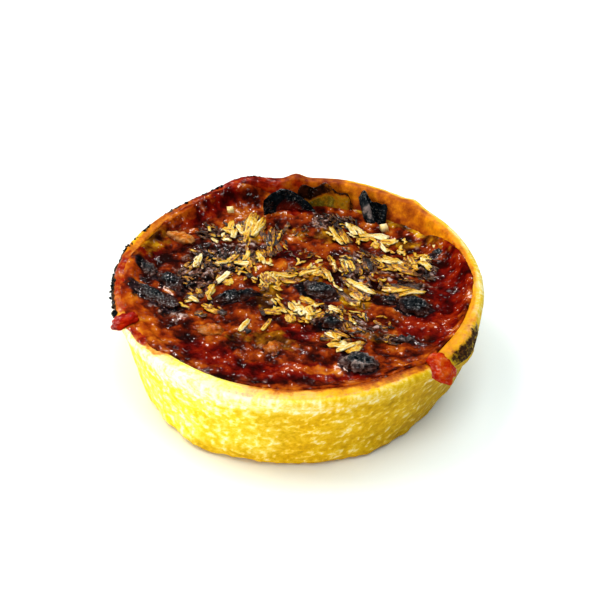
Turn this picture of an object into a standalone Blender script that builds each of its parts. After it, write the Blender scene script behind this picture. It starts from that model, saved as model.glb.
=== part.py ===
"""Individual deep quiche: a pale pastry case, a baked tomato filling, grated cheese and charred vegetables.

Metres, +Z up. The origin is the middle of the flat underside. +X is the right and -Y the front of the quiche.
"""

import math
import random

import bmesh
import bpy
from mathutils import Matrix, Vector, noise

MM = 0.001

# Pastry case
HEIGHT = 30.0 * MM
RIM_RADIUS = 55.0 * MM
BASE_RADIUS = 47.0 * MM
FLAT_RADIUS = 43.5 * MM  # the flat the quiche stands on
WALL = 4.1 * MM
FRONT_WALL = (-108.0, 62.0, 1.7 * MM)  # the wall is thicker in front: angle, spread (degrees), extra
FLOOR = 4.0 * MM
LIP_HEIGHT = 3.6 * MM  # the smooth band at the top of the wall
LIP_STEP = 0.45 * MM
LEAN = (-1.5 * MM, -1.4 * MM)  # the base sits a little to the front left of the rim
TAPER = (RIM_RADIUS - BASE_RADIUS) / HEIGHT
CASE_SEGMENTS = 72

# Rises and falls round the rim: angle, spread (degrees) and height
RIM_RISES = {
    "hump": (109.0, 8.0, 2.2 * MM),
    "back_knob": (91.0, 3.0, 1.5 * MM),
    "back_right": (70.0, 24.0, 0.5 * MM),
    "right_knob": (47.5, 3.0, 0.9 * MM),
    "spill_notch": (-44.0, 6.5, -2.0 * MM),
}
RIM_WAVE = 0.4 * MM
BROWNED_SLOPE = (-31.0, 9.5, -2.7 * MM)  # the rim's outer half falls away here
CHARRED_EDGE = (178.0, 19.0, 0.7 * MM)

# Swellings of the outer wall: angle, spread (degrees), lowest and highest height, amount outwards
BULGES = {
    "front_right_wall": (-21.0, 13.0, 3.0 * MM, 27.0 * MM, 2.0 * MM),
    "front_right_rim": (-31.0, 9.0, 16.0 * MM, 40.0 * MM, 1.7 * MM),
    "right_rim": (14.0, 24.0, 14.0 * MM, 40.0 * MM, -0.45 * MM),
    "front_left_foot": (-124.0, 17.0, -6.0 * MM, 9.0 * MM, 1.6 * MM),
    "front_right_foot": (-66.0, 15.0, -6.0 * MM, 8.0 * MM, 1.0 * MM),
}
BULGE_FADE = 5.0 * MM
WALL_BUMP = 0.45 * MM
WALL_BUMP_SIZE = 6.5 * MM
FOOT_BUMP = 0.9 * MM
FOOT_BUMP_SIZE = 6.0 * MM

# Filling
GAP = 0.3 * MM
FILL_LEVEL = 26.7 * MM
SLOPE_X = -0.034
SLOPE_Y = -0.030
# Rises and hollows of its surface: x, y, reach, height
MOUNDS = {
    "sunken_back_right": (27.0 * MM, 37.0 * MM, 15.0 * MM, -2.4 * MM),
    "full_left": (-47.0 * MM, -6.0 * MM, 14.0 * MM, 0.9 * MM),
    "blister": (-16.5 * MM, -12.6 * MM, 4.6 * MM, 1.7 * MM),
    "curl_bank": (-1.0 * MM, 39.0 * MM, 5.5 * MM, 1.5 * MM),
    "back_left_bank": (-16.0 * MM, 46.5 * MM, 7.0 * MM, 1.2 * MM),
}
LUMP_SIZE = 10.0 * MM
LUMP_RISE = 1.0 * MM
BUMP_SIZE = 5.2 * MM
BUMP_RISE = 0.55 * MM
EDGE_ROLL = 1.1 * MM
EDGE_ROLL_REACH = 3.0 * MM
FILLING_CELLS = 26

# Grated cheese, in tufts: x, y, reach in x and y (mm), heading, spread (degrees), number, length, width (mm)
TUFTS = {
    "fan_back_left": (-13.8, 31.0, 2.2, 2.8, 82, 12, 6, 9.0, 1.7),
    "crown_back_left": (-14.6, 38.6, 1.6, 0.6, 60, 22, 2, 5.4, 1.6),
    "upright_back_left": (-14.2, 42.6, 0.3, 0.3, 96, 4, 1, 5.0, 1.7),
    "pair_far_left": (-29.6, 34.6, 2.2, 1.2, -42, 14, 2, 7.0, 1.6),
    "scatter_back_left": (-21.5, 28.0, 4.6, 3.4, -66, 30, 6, 4.8, 1.6),
    "strands_back": (-8.7, 22.0, 0.9, 5.0, 88, 6, 4, 8.6, 1.3),
    "strand_left_of_centre": (-11.4, 15.5, 0.6, 1.6, -76, 10, 2, 6.6, 1.3),
    "upright_left": (-30.3, 12.5, 0.7, 1.6, 84, 6, 2, 6.8, 1.4),
    "knot_left": (-19.6, 12.6, 4.0, 2.4, 30, 60, 5, 4.6, 1.5),
    "arc_left": (-22.4, 2.6, 0.5, 0.5, 52, 6, 1, 6.4, 1.6),
    "arc_left_end": (-26.2, -3.0, 0.4, 0.4, 80, 5, 1, 6.0, 1.5),
    "centre_left": (-10.4, 3.2, 2.4, 1.2, 100, 30, 4, 4.6, 1.5),
    "centre_bar": (-4.4, 6.0, 0.5, 0.4, 2, 4, 1, 7.6, 1.9),
    "centre_bar_end": (2.8, 7.4, 0.5, 0.4, 18, 6, 1, 6.6, 1.7),
    "right_of_bar": (8.4, 6.0, 1.0, 1.4, -70, 10, 2, 5.0, 1.4),
    "stack_centre_right": (13.3, -1.6, 0.8, 1.0, -68, 5, 2, 11.0, 2.0),
    "long_right": (18.6, 1.0, 0.5, 0.5, -48, 4, 1, 11.0, 1.7),
    "stack_right": (18.4, -4.4, 1.6, 1.6, -66, 14, 3, 5.4, 1.7),
    "uprights_right": (13.6, 11.4, 2.0, 1.4, -76, 8, 3, 6.4, 1.4),
    "dark_curl_right": (20.2, 11.6, 1.2, 1.0, -62, 20, 2, 6.6, 1.6),
    "pile_right": (28.6, 14.6, 3.2, 1.6, -22, 32, 5, 5.0, 1.8),
    "golden_right": (31.2, 11.4, 0.5, 0.4, -46, 4, 1, 10.0, 2.2),
    "edge_of_pile": (36.6, 14.6, 2.0, 2.4, -40, 40, 3, 6.0, 1.5),
    "crumb_right_back": (26.4, 27.2, 1.6, 1.4, 10, 30, 2, 4.4, 2.0),
    "strand_right_back": (26.4, 24.0, 0.6, 0.6, -70, 8, 1, 6.0, 1.3),
    "fan_back_right": (17.4, 33.6, 1.8, 0.8, -66, 8, 3, 7.0, 1.8),
    "bar_back_right": (23.6, 30.6, 0.6, 0.4, 4, 5, 1, 9.0, 1.7),
    "strands_back_right": (13.2, 26.8, 1.9, 1.4, -68, 7, 3, 9.4, 1.6),
    "melt_right": (30.0, -0.6, 1.0, 0.6, -4, 8, 2, 10.0, 2.3),
    "arc_right": (33.4, -2.9, 0.3, 0.2, 6, 4, 1, 8.4, 1.5),
    "melt_centre": (4.4, -6.6, 0.5, 0.4, -34, 6, 1, 6.6, 2.2),
    "cluster_front": (0.6, -12.0, 3.4, 2.0, -66, 26, 6, 5.0, 1.9),
    "golden_front_left": (-7.6, -13.4, 1.2, 0.8, 24, 24, 2, 4.4, 2.0),
    "right_of_cluster": (9.6, -12.2, 1.0, 0.8, -46, 10, 2, 4.4, 1.5),
    "trail_front": (11.0, -23.4, 1.8, 2.0, -42, 24, 4, 5.0, 1.6),
    "fan_front_right": (13.8, -29.2, 1.2, 0.8, 24, 12, 2, 6.4, 1.6),
    "pair_left": (-26.0, -12.2, 1.8, 1.2, -34, 12, 2, 4.2, 1.8),
    "crumb_left": (-31.0, -8.0, 0.6, 0.6, -24, 20, 1, 3.6, 1.6),
    "lone_left": (-41.6, 6.6, 0.3, 0.3, 28, 5, 1, 5.6, 1.5),
    "front_left_strays": (-14.0, -23.0, 5.0, 3.0, 70, 30, 2, 4.8, 1.3),
}
SHRED_LENGTH_SPREAD = 0.14
SHRED_WIDTH_SPREAD = 0.15
SHRED_DEPTH = (1.0 * MM, 1.3 * MM)
SHRED_BEND = 0.12
SHRED_STEPS = 3
SHRED_CLEARANCE = 0.7 * MM
SHRED_SEED = 44

# Lumps set into the filling: x, y, length, width, height, depth sunk (mm), heading (degrees), seed
LUMPS = {
    "char_chunk_centre": (6.0, -1.6, 11.4, 5.6, 4.4, 2.2, -22, 3),
    "char_crescent_left": (-18.8, -5.6, 12.6, 4.6, 4.0, 2.0, 16, 5),
    "char_chunk_right": (33.8, -8.6, 8.8, 7.2, 4.8, 2.2, -22, 7),
    "char_nib_right": (26.6, -5.4, 5.2, 3.0, 2.8, 1.4, -26, 12),
    "char_chunk_front": (17.0, -36.0, 9.8, 6.8, 4.8, 2.2, -16, 11),
    "char_chunk_mid_front": (9.4, -17.8, 6.2, 4.4, 3.6, 1.8, -20, 13),
    "char_sliver_front": (29.6, -24.2, 6.6, 2.4, 2.6, 1.4, 12, 17),
    "char_lobe_left": (-42.2, -7.2, 16.2, 5.6, 3.4, 1.9, -38, 19),
    "char_lobe_mid_left": (-38.2, 0.6, 10.0, 6.0, 3.2, 1.9, -52, 23),
    "char_lobe_back_left": (-45.4, 7.4, 7.0, 4.2, 2.8, 1.6, -44, 8),
    "pepper_strip_left": (-36.2, 23.4, 10.4, 3.6, 3.4, 1.6, -32, 29),
    "pepper_slab_front_left": (-25.0, -22.4, 8.0, 5.4, 3.0, 1.8, -24, 31),
    "pepper_slab_front": (-7.4, -29.4, 6.4, 6.0, 2.8, 1.8, -62, 37),
    "char_bead_right": (42.6, 19.4, 2.6, 2.4, 2.4, 0.8, 0, 43),
}
LUMP_RINGS = 7
LUMP_SIDES = 11
SMALL_LUMP = 3.0 * MM
LUMP_NOISE = 0.16

# Pieces on the rim: angle, radius, height, radial size, size along it, thickness (mm), tilt (degrees), seed
RIM_PIECES = {
    "tomato_edge_left": (202.0, 53.6, 30.0, 8.4, 5.2, 3.4, 8, 47),
    "tomato_spill_right": (-43.5, 54.6, 28.0, 9.6, 8.2, 6.4, 34, 53),
}

SHEET_THICKNESS = 1.2 * MM
SHEET_PLANT = 1.6 * MM  # how deep the standing sheets go into the filling

COLOURS = {
    "pastry": ((0.80, 0.56, 0.20), 0.75),
    "tomato_filling": ((0.22, 0.035, 0.010), 0.25),
    "charred": ((0.018, 0.016, 0.018), 0.35),
    "pepper": ((0.55, 0.17, 0.025), 0.30),
    "tomato": ((0.62, 0.06, 0.010), 0.28),
    "onion": ((0.28, 0.14, 0.03), 0.30),
}


def bell(angle, shape):
    """Height of a smooth rise round the rim: shape is its angle, spread (degrees) and height."""
    centre, spread, height = shape
    away = (angle - centre + 180.0) % 360.0 - 180.0
    return height * math.exp(-((away / spread) ** 2))


def mound(x, y, shape):
    """Height of a round rise: shape is its x, y, reach and height."""
    cx, cy, reach, height = shape
    return height * math.exp(-((x - cx) ** 2 + (y - cy) ** 2) / reach**2)


def ramp(low, high, value):
    """0 below low, 1 above high, and smooth between them."""
    t = min(1.0, max(0.0, (value - low) / (high - low)))
    return t * t * (3.0 - 2.0 * t)


def ripple(x, y, z, size):
    """Smooth noise of about -1 to 1, with features of that size."""
    return noise.noise(Vector((x, y, z)) / size)


def extra_wall(angle):
    """How much thicker than WALL the case is, towards the inside."""
    return bell(angle, FRONT_WALL)


def inner_radius(angle, z):
    """Radius of the case's inner wall."""
    return RIM_RADIUS - WALL - extra_wall(angle) - (HEIGHT - z) * TAPER


def lean(z):
    """Sideways shift of the case at a height."""
    return Vector((LEAN[0], LEAN[1], 0.0)) * (1.0 - z / HEIGHT)


def rim_rise(angle):
    """How far the rim stands above or below HEIGHT."""
    a = math.radians(angle)
    wave = RIM_WAVE * ripple(3.0 * math.cos(a), 3.0 * math.sin(a), 0.5, 1.0)
    return wave + sum(bell(angle, shape) for shape in RIM_RISES.values())


def new_object(name, bm, material=None):
    """A linked object of triangles from a bmesh, with its normals pointing out."""
    bmesh.ops.triangulate(bm, faces=bm.faces, quad_method="FIXED")
    bmesh.ops.recalc_face_normals(bm, faces=bm.faces)
    mesh = bpy.data.meshes.new(name)
    bm.to_mesh(mesh)
    bm.free()
    obj = bpy.data.objects.new(name, mesh)
    bpy.context.scene.collection.objects.link(obj)
    if material:
        mesh.materials.append(material)
    mesh.shade_smooth()
    return obj


def new_material(name):
    """A Principled material of one of the quiche's colours."""
    colour, roughness = COLOURS[name]
    material = bpy.data.materials.new(name)
    material.use_nodes = True
    shader = material.node_tree.nodes["Principled BSDF"]
    shader.inputs["Base Color"].default_value = (*colour, 1.0)
    shader.inputs["Roughness"].default_value = roughness
    shader.inputs["Metallic"].default_value = 0.0
    return material


def largest_piece(mesh):
    """Keeps the largest body of a mesh, dropping loose scraps and sealed hollows."""
    bm = bmesh.new()
    bm.from_mesh(mesh)
    bmesh.ops.triangulate(bm, faces=bm.faces)
    unseen = set(bm.faces)
    bodies = []
    while unseen:
        body = [unseen.pop()]
        for face in body:
            for edge in face.edges:
                for neighbour in edge.link_faces:
                    if len(edge.link_faces) == 2 and neighbour in unseen:
                        unseen.discard(neighbour)
                        body.append(neighbour)
        bodies.append(body)
    bodies.sort(key=len)
    bmesh.ops.delete(bm, geom=[face for body in bodies[:-1] for face in body], context="FACES")
    bm.to_mesh(mesh)
    bm.free()


def combine(obj, others, operation, solver="EXACT"):
    """Cuts others from obj, or joins them to it, applies the result and removes others."""
    group = bpy.data.collections.new("operands")
    bpy.context.scene.collection.children.link(group)
    for other in others:
        group.objects.link(other)
    modifier = obj.modifiers.new(operation.lower(), "BOOLEAN")
    modifier.operation = operation
    modifier.solver = solver
    modifier.operand_type = "COLLECTION"
    modifier.collection = group
    bpy.context.view_layer.update()
    evaluated = obj.evaluated_get(bpy.context.evaluated_depsgraph_get())
    mesh = bpy.data.meshes.new_from_object(evaluated)
    obj.modifiers.clear()
    obj.data = mesh
    for other in others:
        bpy.data.objects.remove(other)
    bpy.data.collections.remove(group)
    largest_piece(mesh)
    mesh.shade_smooth()


def ring_of_edges(bm, radius, z):
    """The boundary edges near a radius and height."""
    return [
        e
        for e in bm.edges
        if e.is_boundary
        and all(abs(v.co.xy.length - radius) < MM and abs(v.co.z - z) < MM for v in e.verts)
    ]


def case_outline(grow):
    """The case's section: the edge of its underside, up the outside, over the rim and down to the floor."""
    shoulder = HEIGHT - LIP_HEIGHT
    outer = [(FLAT_RADIUS, -grow), (BASE_RADIUS - 1.2 * MM, 0.4 * MM - grow), (BASE_RADIUS + grow, 1.8 * MM)]
    for z in (6.0 * MM, 11.0 * MM, 16.0 * MM, 21.0 * MM, shoulder):
        outer.append((BASE_RADIUS + z * TAPER - LIP_STEP + grow, z))
    rim = [
        (RIM_RADIUS - 0.35 * MM + grow, shoulder + 0.7 * MM),
        (RIM_RADIUS + grow, HEIGHT - 1.3 * MM),
        (RIM_RADIUS - 0.5 * MM + grow, HEIGHT - 0.3 * MM + grow),
        (RIM_RADIUS - 1.5 * MM, HEIGHT + grow),
        (RIM_RADIUS - WALL + 0.7 * MM, HEIGHT + grow),
        (RIM_RADIUS - WALL - grow, HEIGHT - 0.7 * MM),
    ]
    inner = [(RIM_RADIUS - WALL - (HEIGHT - z) * TAPER - grow, z) for z in (22.0 * MM, 13.0 * MM, 5.5 * MM)]
    floor = [(RIM_RADIUS - WALL - (HEIGHT - FLOOR) * TAPER - 1.4 * MM - grow, FLOOR + grow)]
    return outer + rim + inner + floor


def bulge(angle, z):
    """How far the outer wall swells at a place."""
    total = 0.0
    for centre, spread, low, high, amount in BULGES.values():
        share = ramp(low, low + BULGE_FADE, z) * (1.0 - ramp(high - BULGE_FADE, high, z))
        total += share * bell(angle, (centre, spread, amount))
    return total


def case_point(p, grow):
    """Moves a point of the plain turned case to its place on the uneven one."""
    radius, angle, z = p.xy.length, math.degrees(math.atan2(p.y, p.x)), p.z
    if radius < 0.5 * FLAT_RADIUS:
        return p + lean(z)
    rise = rim_rise(angle) * ramp(0.6 * HEIGHT, HEIGHT, z)
    inward = (RIM_RADIUS - (HEIGHT - z) * TAPER - radius) / WALL
    moved = radius + rise * TAPER
    if inward > 0.5 and z > 0.5 * FLOOR:
        moved -= extra_wall(angle)
    else:
        shoulder = HEIGHT - LIP_HEIGHT
        wall_share = ramp(2.0 * MM, 8.0 * MM, z) * (1.0 - ramp(shoulder - MM, shoulder, z))
        foot_share = ramp(0.1 * MM, MM, z + grow) * (1.0 - ramp(3.0 * MM, 9.0 * MM, z))
        char_share = ramp(HEIGHT - 4.0 * MM, HEIGHT - 2.0 * MM, z)
        moved += bulge(angle, z) * (1.0 - ramp(0.3, 0.5, inward) * ramp(0.5 * HEIGHT, 0.8 * HEIGHT, z))
        moved += WALL_BUMP * wall_share * ripple(p.x, p.y, p.z, WALL_BUMP_SIZE)
        moved += FOOT_BUMP * foot_share * ripple(p.x, p.y, p.z, FOOT_BUMP_SIZE)
        moved += char_share * bell(angle, CHARRED_EDGE) * ripple(p.x, p.y, p.z, 1.7 * MM)
        rise += bell(angle, BROWNED_SLOPE) * (1.0 - ramp(0.0, 0.38, inward)) * ramp(20.0 * MM, 28.0 * MM, z)
    return p.xyz * Vector((moved / radius, moved / radius, 1.0)) + Vector((0.0, 0.0, rise)) + lean(z)


def pastry_case(name, grow=0.0, material=None):
    """The case as one solid. grow makes it that much larger all over, to cut what lies on it."""
    bm = bmesh.new()
    outline = [bm.verts.new((r, 0.0, z)) for r, z in case_outline(grow)]
    edges = [bm.edges.new(pair) for pair in zip(outline, outline[1:])]
    bmesh.ops.spin(
        bm,
        geom=outline + edges,
        axis=(0, 0, 1),
        cent=(0, 0, 0),
        angle=math.tau,
        steps=CASE_SEGMENTS,
        use_merge=True,
    )
    bmesh.ops.remove_doubles(bm, verts=bm.verts, dist=0.01 * MM)
    bmesh.ops.contextual_create(bm, geom=ring_of_edges(bm, FLAT_RADIUS, -grow))
    floor_r, floor_z = case_outline(grow)[-1]
    bmesh.ops.contextual_create(bm, geom=ring_of_edges(bm, floor_r, floor_z))
    for vert in bm.verts:
        vert.co = case_point(vert.co, grow)
    return new_object(name, bm, material)


def filling_height(x, y):
    """Height of the filling's surface, before it rolls down at the edge."""
    z = FILL_LEVEL + SLOPE_X * x + SLOPE_Y * y
    z += sum(mound(x, y, shape) for shape in MOUNDS.values())
    z += LUMP_RISE * ripple(x, y, 0.003, LUMP_SIZE)
    return z + BUMP_RISE * ripple(x, y, 0.017, BUMP_SIZE)


def rolled_height(x, y):
    """Height of the filling's surface with its rolled edge."""
    angle = math.degrees(math.atan2(y, x))
    inside = inner_radius(angle, FILL_LEVEL) - math.hypot(x, y)
    return filling_height(x, y) - EDGE_ROLL * (1.0 - ramp(0.0, EDGE_ROLL_REACH, inside))


def on_disc(u, v):
    """A point of the square from -1 to 1, moved to the round disc of radius 1."""
    return u * math.sqrt(1.0 - v * v / 2.0), v * math.sqrt(1.0 - u * u / 2.0)


def filling_core(name, grow=0.0, material=None):
    """The filling without its cheese. grow raises its surface, to cut what lies on it."""
    bm = bmesh.new()
    bmesh.ops.create_grid(bm, x_segments=FILLING_CELLS, y_segments=FILLING_CELLS, size=1.0)
    rim = [e for e in bm.edges if e.is_boundary]
    for vert in bm.verts:
        u, v = on_disc(vert.co.x, vert.co.y)
        angle = math.degrees(math.atan2(v, u))
        reach = math.hypot(u, v)
        radius = reach * (inner_radius(angle, FILL_LEVEL) - GAP + grow)
        for _ in range(3):
            x, y = radius * math.cos(math.radians(angle)), radius * math.sin(math.radians(angle))
            z = rolled_height(x, y)
            radius = reach * (inner_radius(angle, z) - GAP + grow)
        vert.co = Vector((x, y, z + grow)) + lean(z)
    low = [FLOOR + 3.0 * MM, FLOOR + GAP]
    narrower = [0.0, 1.7 * MM]
    for z, less in zip(low, narrower):
        grown = bmesh.ops.extrude_edge_only(bm, edges=rim)["geom"]
        rim = [e for e in grown if isinstance(e, bmesh.types.BMEdge) and e.is_boundary]
        for vert in {v for e in rim for v in e.verts}:
            middle = vert.co - lean(vert.co.z)
            angle = math.atan2(middle.y, middle.x)
            radius = inner_radius(math.degrees(angle), z) - GAP - less
            vert.co = Vector((radius * math.cos(angle), radius * math.sin(angle), z)) + lean(z)
    bmesh.ops.contextual_create(bm, geom=rim)
    return new_object(name, bm, material)


def swell(bm, grow):
    """Moves every face of a closed mesh outwards by about grow."""
    bmesh.ops.recalc_face_normals(bm, faces=bm.faces)
    bm.normal_update()
    shifts = [(vert, vert.normal * grow * min(1.6, vert.calc_shell_factor())) for vert in bm.verts]
    for vert, shift in shifts:
        vert.co += shift


def lump(name, row, grow=0.0, material=None):
    """One uneven lump set into the filling. grow makes it larger, to cut its pocket."""
    x, y, length, width, height, sunk = (value * MM for value in row[:6])
    heading, seed = math.radians(row[6]), row[7]
    small = length < SMALL_LUMP
    sides, rings = (8, 5) if small else (LUMP_SIDES, LUMP_RINGS)
    bm = bmesh.new()
    bmesh.ops.create_uvsphere(bm, u_segments=sides, v_segments=rings, radius=0.5)
    size = Vector((length, width, height))
    for vert in bm.verts:
        uneven = noise.noise(vert.co.normalized() * 1.6 + Vector((seed, 0.0, 0.0)))
        vert.co = vert.co * size * (1.0 + 2.0 * LUMP_NOISE * uneven)
    swell(bm, grow)
    centre = Vector((x, y, filling_height(x, y) + height / 2.0 - sunk))
    bm.transform(Matrix.Translation(centre) @ Matrix.Rotation(heading, 4, "Z"))
    return new_object(name, bm, material)


def rim_piece(name, row, material):
    """A tomato piece that lies over the rim, cut to sit on the case and the filling."""
    angle, radius, z, deep, wide, thick, tilt, seed = row
    bm = bmesh.new()
    bmesh.ops.create_uvsphere(bm, u_segments=14, v_segments=10, radius=0.5)
    for vert in bm.verts:
        way = vert.co.normalized()
        bulge = 1.0 + 0.34 * noise.noise(way * 1.7 + Vector((0.0, seed, 0.0)))
        vert.co = vert.co * Vector((deep, wide, thick)) * MM * bulge
    turn = Matrix.Rotation(math.radians(angle), 4, "Z")
    slope = Matrix.Rotation(math.radians(tilt), 4, "Y")
    bm.transform(turn @ Matrix.Translation((radius * MM, 0.0, z * MM)) @ slope)
    obj = new_object(name, bm, material)
    combine(obj, [pastry_case("case_cutter", GAP)], "DIFFERENCE")
    combine(obj, [filling_core("core_cutter", GAP)], "DIFFERENCE")
    return obj


def sheet(name, place, columns, rows, grow=0.0, material=None):
    """A thin wavy sheet. place(u, v) gives a point: u runs from -1 to 1 along it, v from 0 at its foot."""
    bm = bmesh.new()
    bmesh.ops.create_grid(bm, x_segments=columns, y_segments=rows, size=1.0)
    spots = [(vert, vert.co.copy()) for vert in bm.verts]
    for vert, spot in spots:
        foot = 1.5 * grow if spot.y < -0.99 else 0.0
        vert.co = place(spot.x, (spot.y + 1.0) / 2.0) - Vector((0.0, 0.0, foot))
        if abs(spot.x) > 0.99:
            inner = place(spot.x * (1.0 - 2.0 / columns), (spot.y + 1.0) / 2.0)
            vert.co += (vert.co - inner).normalized() * 1.5 * grow
    obj = new_object(name, bm, material)
    solid = obj.modifiers.new("thickness", "SOLIDIFY")
    solid.thickness = SHEET_THICKNESS + 2.0 * grow
    solid.offset = 0.0
    solid.use_even_offset = True
    solid.thickness_clamp = 0.0
    bpy.context.view_layer.update()
    evaluated = obj.evaluated_get(bpy.context.evaluated_depsgraph_get())
    obj.data, obj_mesh = bpy.data.meshes.new_from_object(evaluated), obj.data
    obj.modifiers.clear()
    bpy.data.meshes.remove(obj_mesh)
    return obj


def char_curl(u, v):
    """A blackened strip of skin that stands at the back, tall at its left end and in the middle."""
    x = (-3.0 + 8.2 * u) * MM
    t = min(1.0, max(0.0, (u + 1.0) / 2.0))
    y = (39.0 + 1.1 * (u + 1.0) + 2.6 * math.sin(math.pi * t)) * MM
    tall = (4.2 * (1.0 - t) ** 0.8 + 3.4 * math.sin(math.pi * t**0.8) * (1.0 - 0.3 * t) + 0.8) * MM
    foot = filling_height(x, y) - SHEET_PLANT
    lean_back = 1.3 * MM * v * math.sin(math.pi * t)
    return Vector((x, y + lean_back, foot + (tall + SHEET_PLANT) * v))


def onion_petal(u, v):
    """A cupped, browned onion petal that stands against the back of the case, its top edge jagged."""
    x = (7.2 + 9.4 * u + 0.8 * v) * MM
    y = (45.6 - 1.4 * u * u + 1.8 * v) * MM
    tall = (8.4 - 2.6 * u * u - 1.0 * u + 0.9 * math.sin(8.0 * u + 1.0)) * MM
    foot = filling_height(x, 45.0 * MM) - SHEET_PLANT
    return Vector((x, y, foot + tall * v))


def char_flake(u, v):
    """A crumpled black flake with two tips that leans on the back right of the case."""
    side = 4.4 * MM * u
    crumple = 0.9 * MM * math.sin(3.4 * u + 4.0 * v)
    tall = (8.8 + 2.2 * math.cos(4.4 * u + 1.9) - 1.0 * u) * MM
    x = 24.4 * MM + side * (0.75 + 0.25 * v) - 1.2 * MM * v
    y = 38.4 * MM - 0.34 * side + 4.0 * MM * v + crumple
    foot = filling_height(24.4 * MM, 38.4 * MM) - SHEET_PLANT
    return Vector((x, y, foot + tall * v))


SHEETS = {
    "char_curl_back": (char_curl, 12, 2, "charred"),
    "onion_petal_back": (onion_petal, 10, 4, "onion"),
    "char_flake_back": (char_flake, 6, 5, "charred"),
}


def blocked(x, y, margin):
    """Whether a place is on a lump, a standing sheet or the case, or within margin of one."""
    for row in LUMPS.values():
        turn = math.radians(row[6])
        dx, dy = x - row[0] * MM, y - row[1] * MM
        along = dx * math.cos(turn) + dy * math.sin(turn)
        across = dy * math.cos(turn) - dx * math.sin(turn)
        reach = (along / (row[2] * MM * 0.54 + margin)) ** 2 + (across / (row[3] * MM * 0.54 + margin)) ** 2
        if reach < 1.0:
            return True
    for place, _, _, _ in SHEETS.values():
        for step in range(9):
            for v in (0.0, 1.0):
                foot = place(step / 4.0 - 1.0, v)
                if math.hypot(x - foot.x, y - foot.y) < SHEET_THICKNESS + margin:
                    return True
    return math.hypot(x, y) > inner_radius(0.0, FILL_LEVEL) - EDGE_ROLL_REACH - margin


def shred_axis(row, along):
    """A point of a shred's middle line, from its tail at -0.5 to its tip at 0.5."""
    x, y, turn, length, _, _, bend = row
    side = bend * length * (0.25 - along * along)
    px = x + along * length * math.cos(turn) - side * math.sin(turn)
    return px, y + along * length * math.sin(turn) + side * math.cos(turn)


def shred_plan():
    """Where each shred of cheese lies: x, y, heading, length, width, depth and bend."""
    draw = random.Random(SHRED_SEED)
    plan = []
    for cx, cy, reach_x, reach_y, heading, spread, number, usual_length, usual_width in TUFTS.values():
        for _ in range(number):
            x = (cx + reach_x * draw.uniform(-1.0, 1.0)) * MM
            y = (cy + reach_y * draw.uniform(-1.0, 1.0)) * MM
            turn = math.radians(heading + spread * draw.uniform(-1.0, 1.0))
            length = usual_length * MM * (1.0 + SHRED_LENGTH_SPREAD * draw.uniform(-1.0, 1.0))
            width = usual_width * MM * (1.0 + SHRED_WIDTH_SPREAD * draw.uniform(-1.0, 1.0))
            depth = draw.uniform(*SHRED_DEPTH)
            bend = SHRED_BEND * draw.uniform(-1.0, 1.0)
            for shorter in (1.0, 0.8, 0.6):
                row = (x, y, turn, length * shorter, width, depth, bend)
                places = [shred_axis(row, along) for along in (-0.5, -0.25, 0.0, 0.25, 0.5)]
                if not any(blocked(*place, width / 2.0 + SHRED_CLEARANCE) for place in places):
                    plan.append(row)
                    break
    return plan


def shred(number, row):
    """One shred of cheese that follows the filling's surface, half sunk in it."""
    turn, width, depth = row[2], row[4], row[5]
    bm = bmesh.new()
    bmesh.ops.create_cube(bm, size=1.0)
    long_edges = [e for e in bm.edges if abs(e.verts[0].co.x - e.verts[1].co.x) > 0.5]
    bmesh.ops.subdivide_edges(bm, edges=long_edges, cuts=SHRED_STEPS - 1, use_grid_fill=True)
    lift = 0.34 * depth * random.Random(number).random()
    for vert in bm.verts:
        along, across, up = vert.co
        narrow = 1.0 - 1.7 * along * along
        px, py = shred_axis(row, along)
        px -= across * width * narrow * math.sin(turn)
        py += across * width * narrow * math.cos(turn)
        vert.co = Vector((px, py, filling_height(px, py) + lift + up * depth * narrow))
    return new_object(f"shred_{number}", bm)


def build():
    """Makes every piece of the quiche."""
    for obj in list(bpy.data.objects):
        bpy.data.objects.remove(obj)
    materials = {name: new_material(name) for name in COLOURS}
    pastry_case("pastry_case", material=materials["pastry"])
    filling = filling_core("filling", material=materials["tomato_filling"])

    pockets = []
    for name, row in LUMPS.items():
        kind = "charred" if name.startswith("char") else "pepper"
        lump(name, row, material=materials[kind])
        pockets.append(lump(f"pocket_{name}", row, grow=GAP * 1.25))
    for name, (place, columns, rows, kind) in SHEETS.items():
        sheet(name, place, columns, rows, material=materials[kind])
        pockets.append(sheet(f"pocket_{name}", place, columns, rows, grow=GAP * 1.25))
    for name, row in RIM_PIECES.items():
        rim_piece(name, row, materials["tomato"])
    shreds = [shred(number, row) for number, row in enumerate(shred_plan())]
    combine(filling, shreds, "UNION")
    combine(filling, pockets, "DIFFERENCE")


build()
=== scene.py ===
"""Looks of an individual deep quiche: pastry case, baked tomato filling, grated cheese and charred pieces.

Metres, +Z up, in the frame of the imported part: the origin is the middle of the flat underside, +X is the
right and -Y the front of the quiche. Sizes in the tables are in millimetres and angles in degrees, counted
from +X towards +Y.
"""

import logging
import math
import random
from collections.abc import Sequence
from dataclasses import dataclass, replace
from enum import Enum
from typing import Any

import bmesh
import bpy
from mathutils import Matrix, Vector, noise


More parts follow.
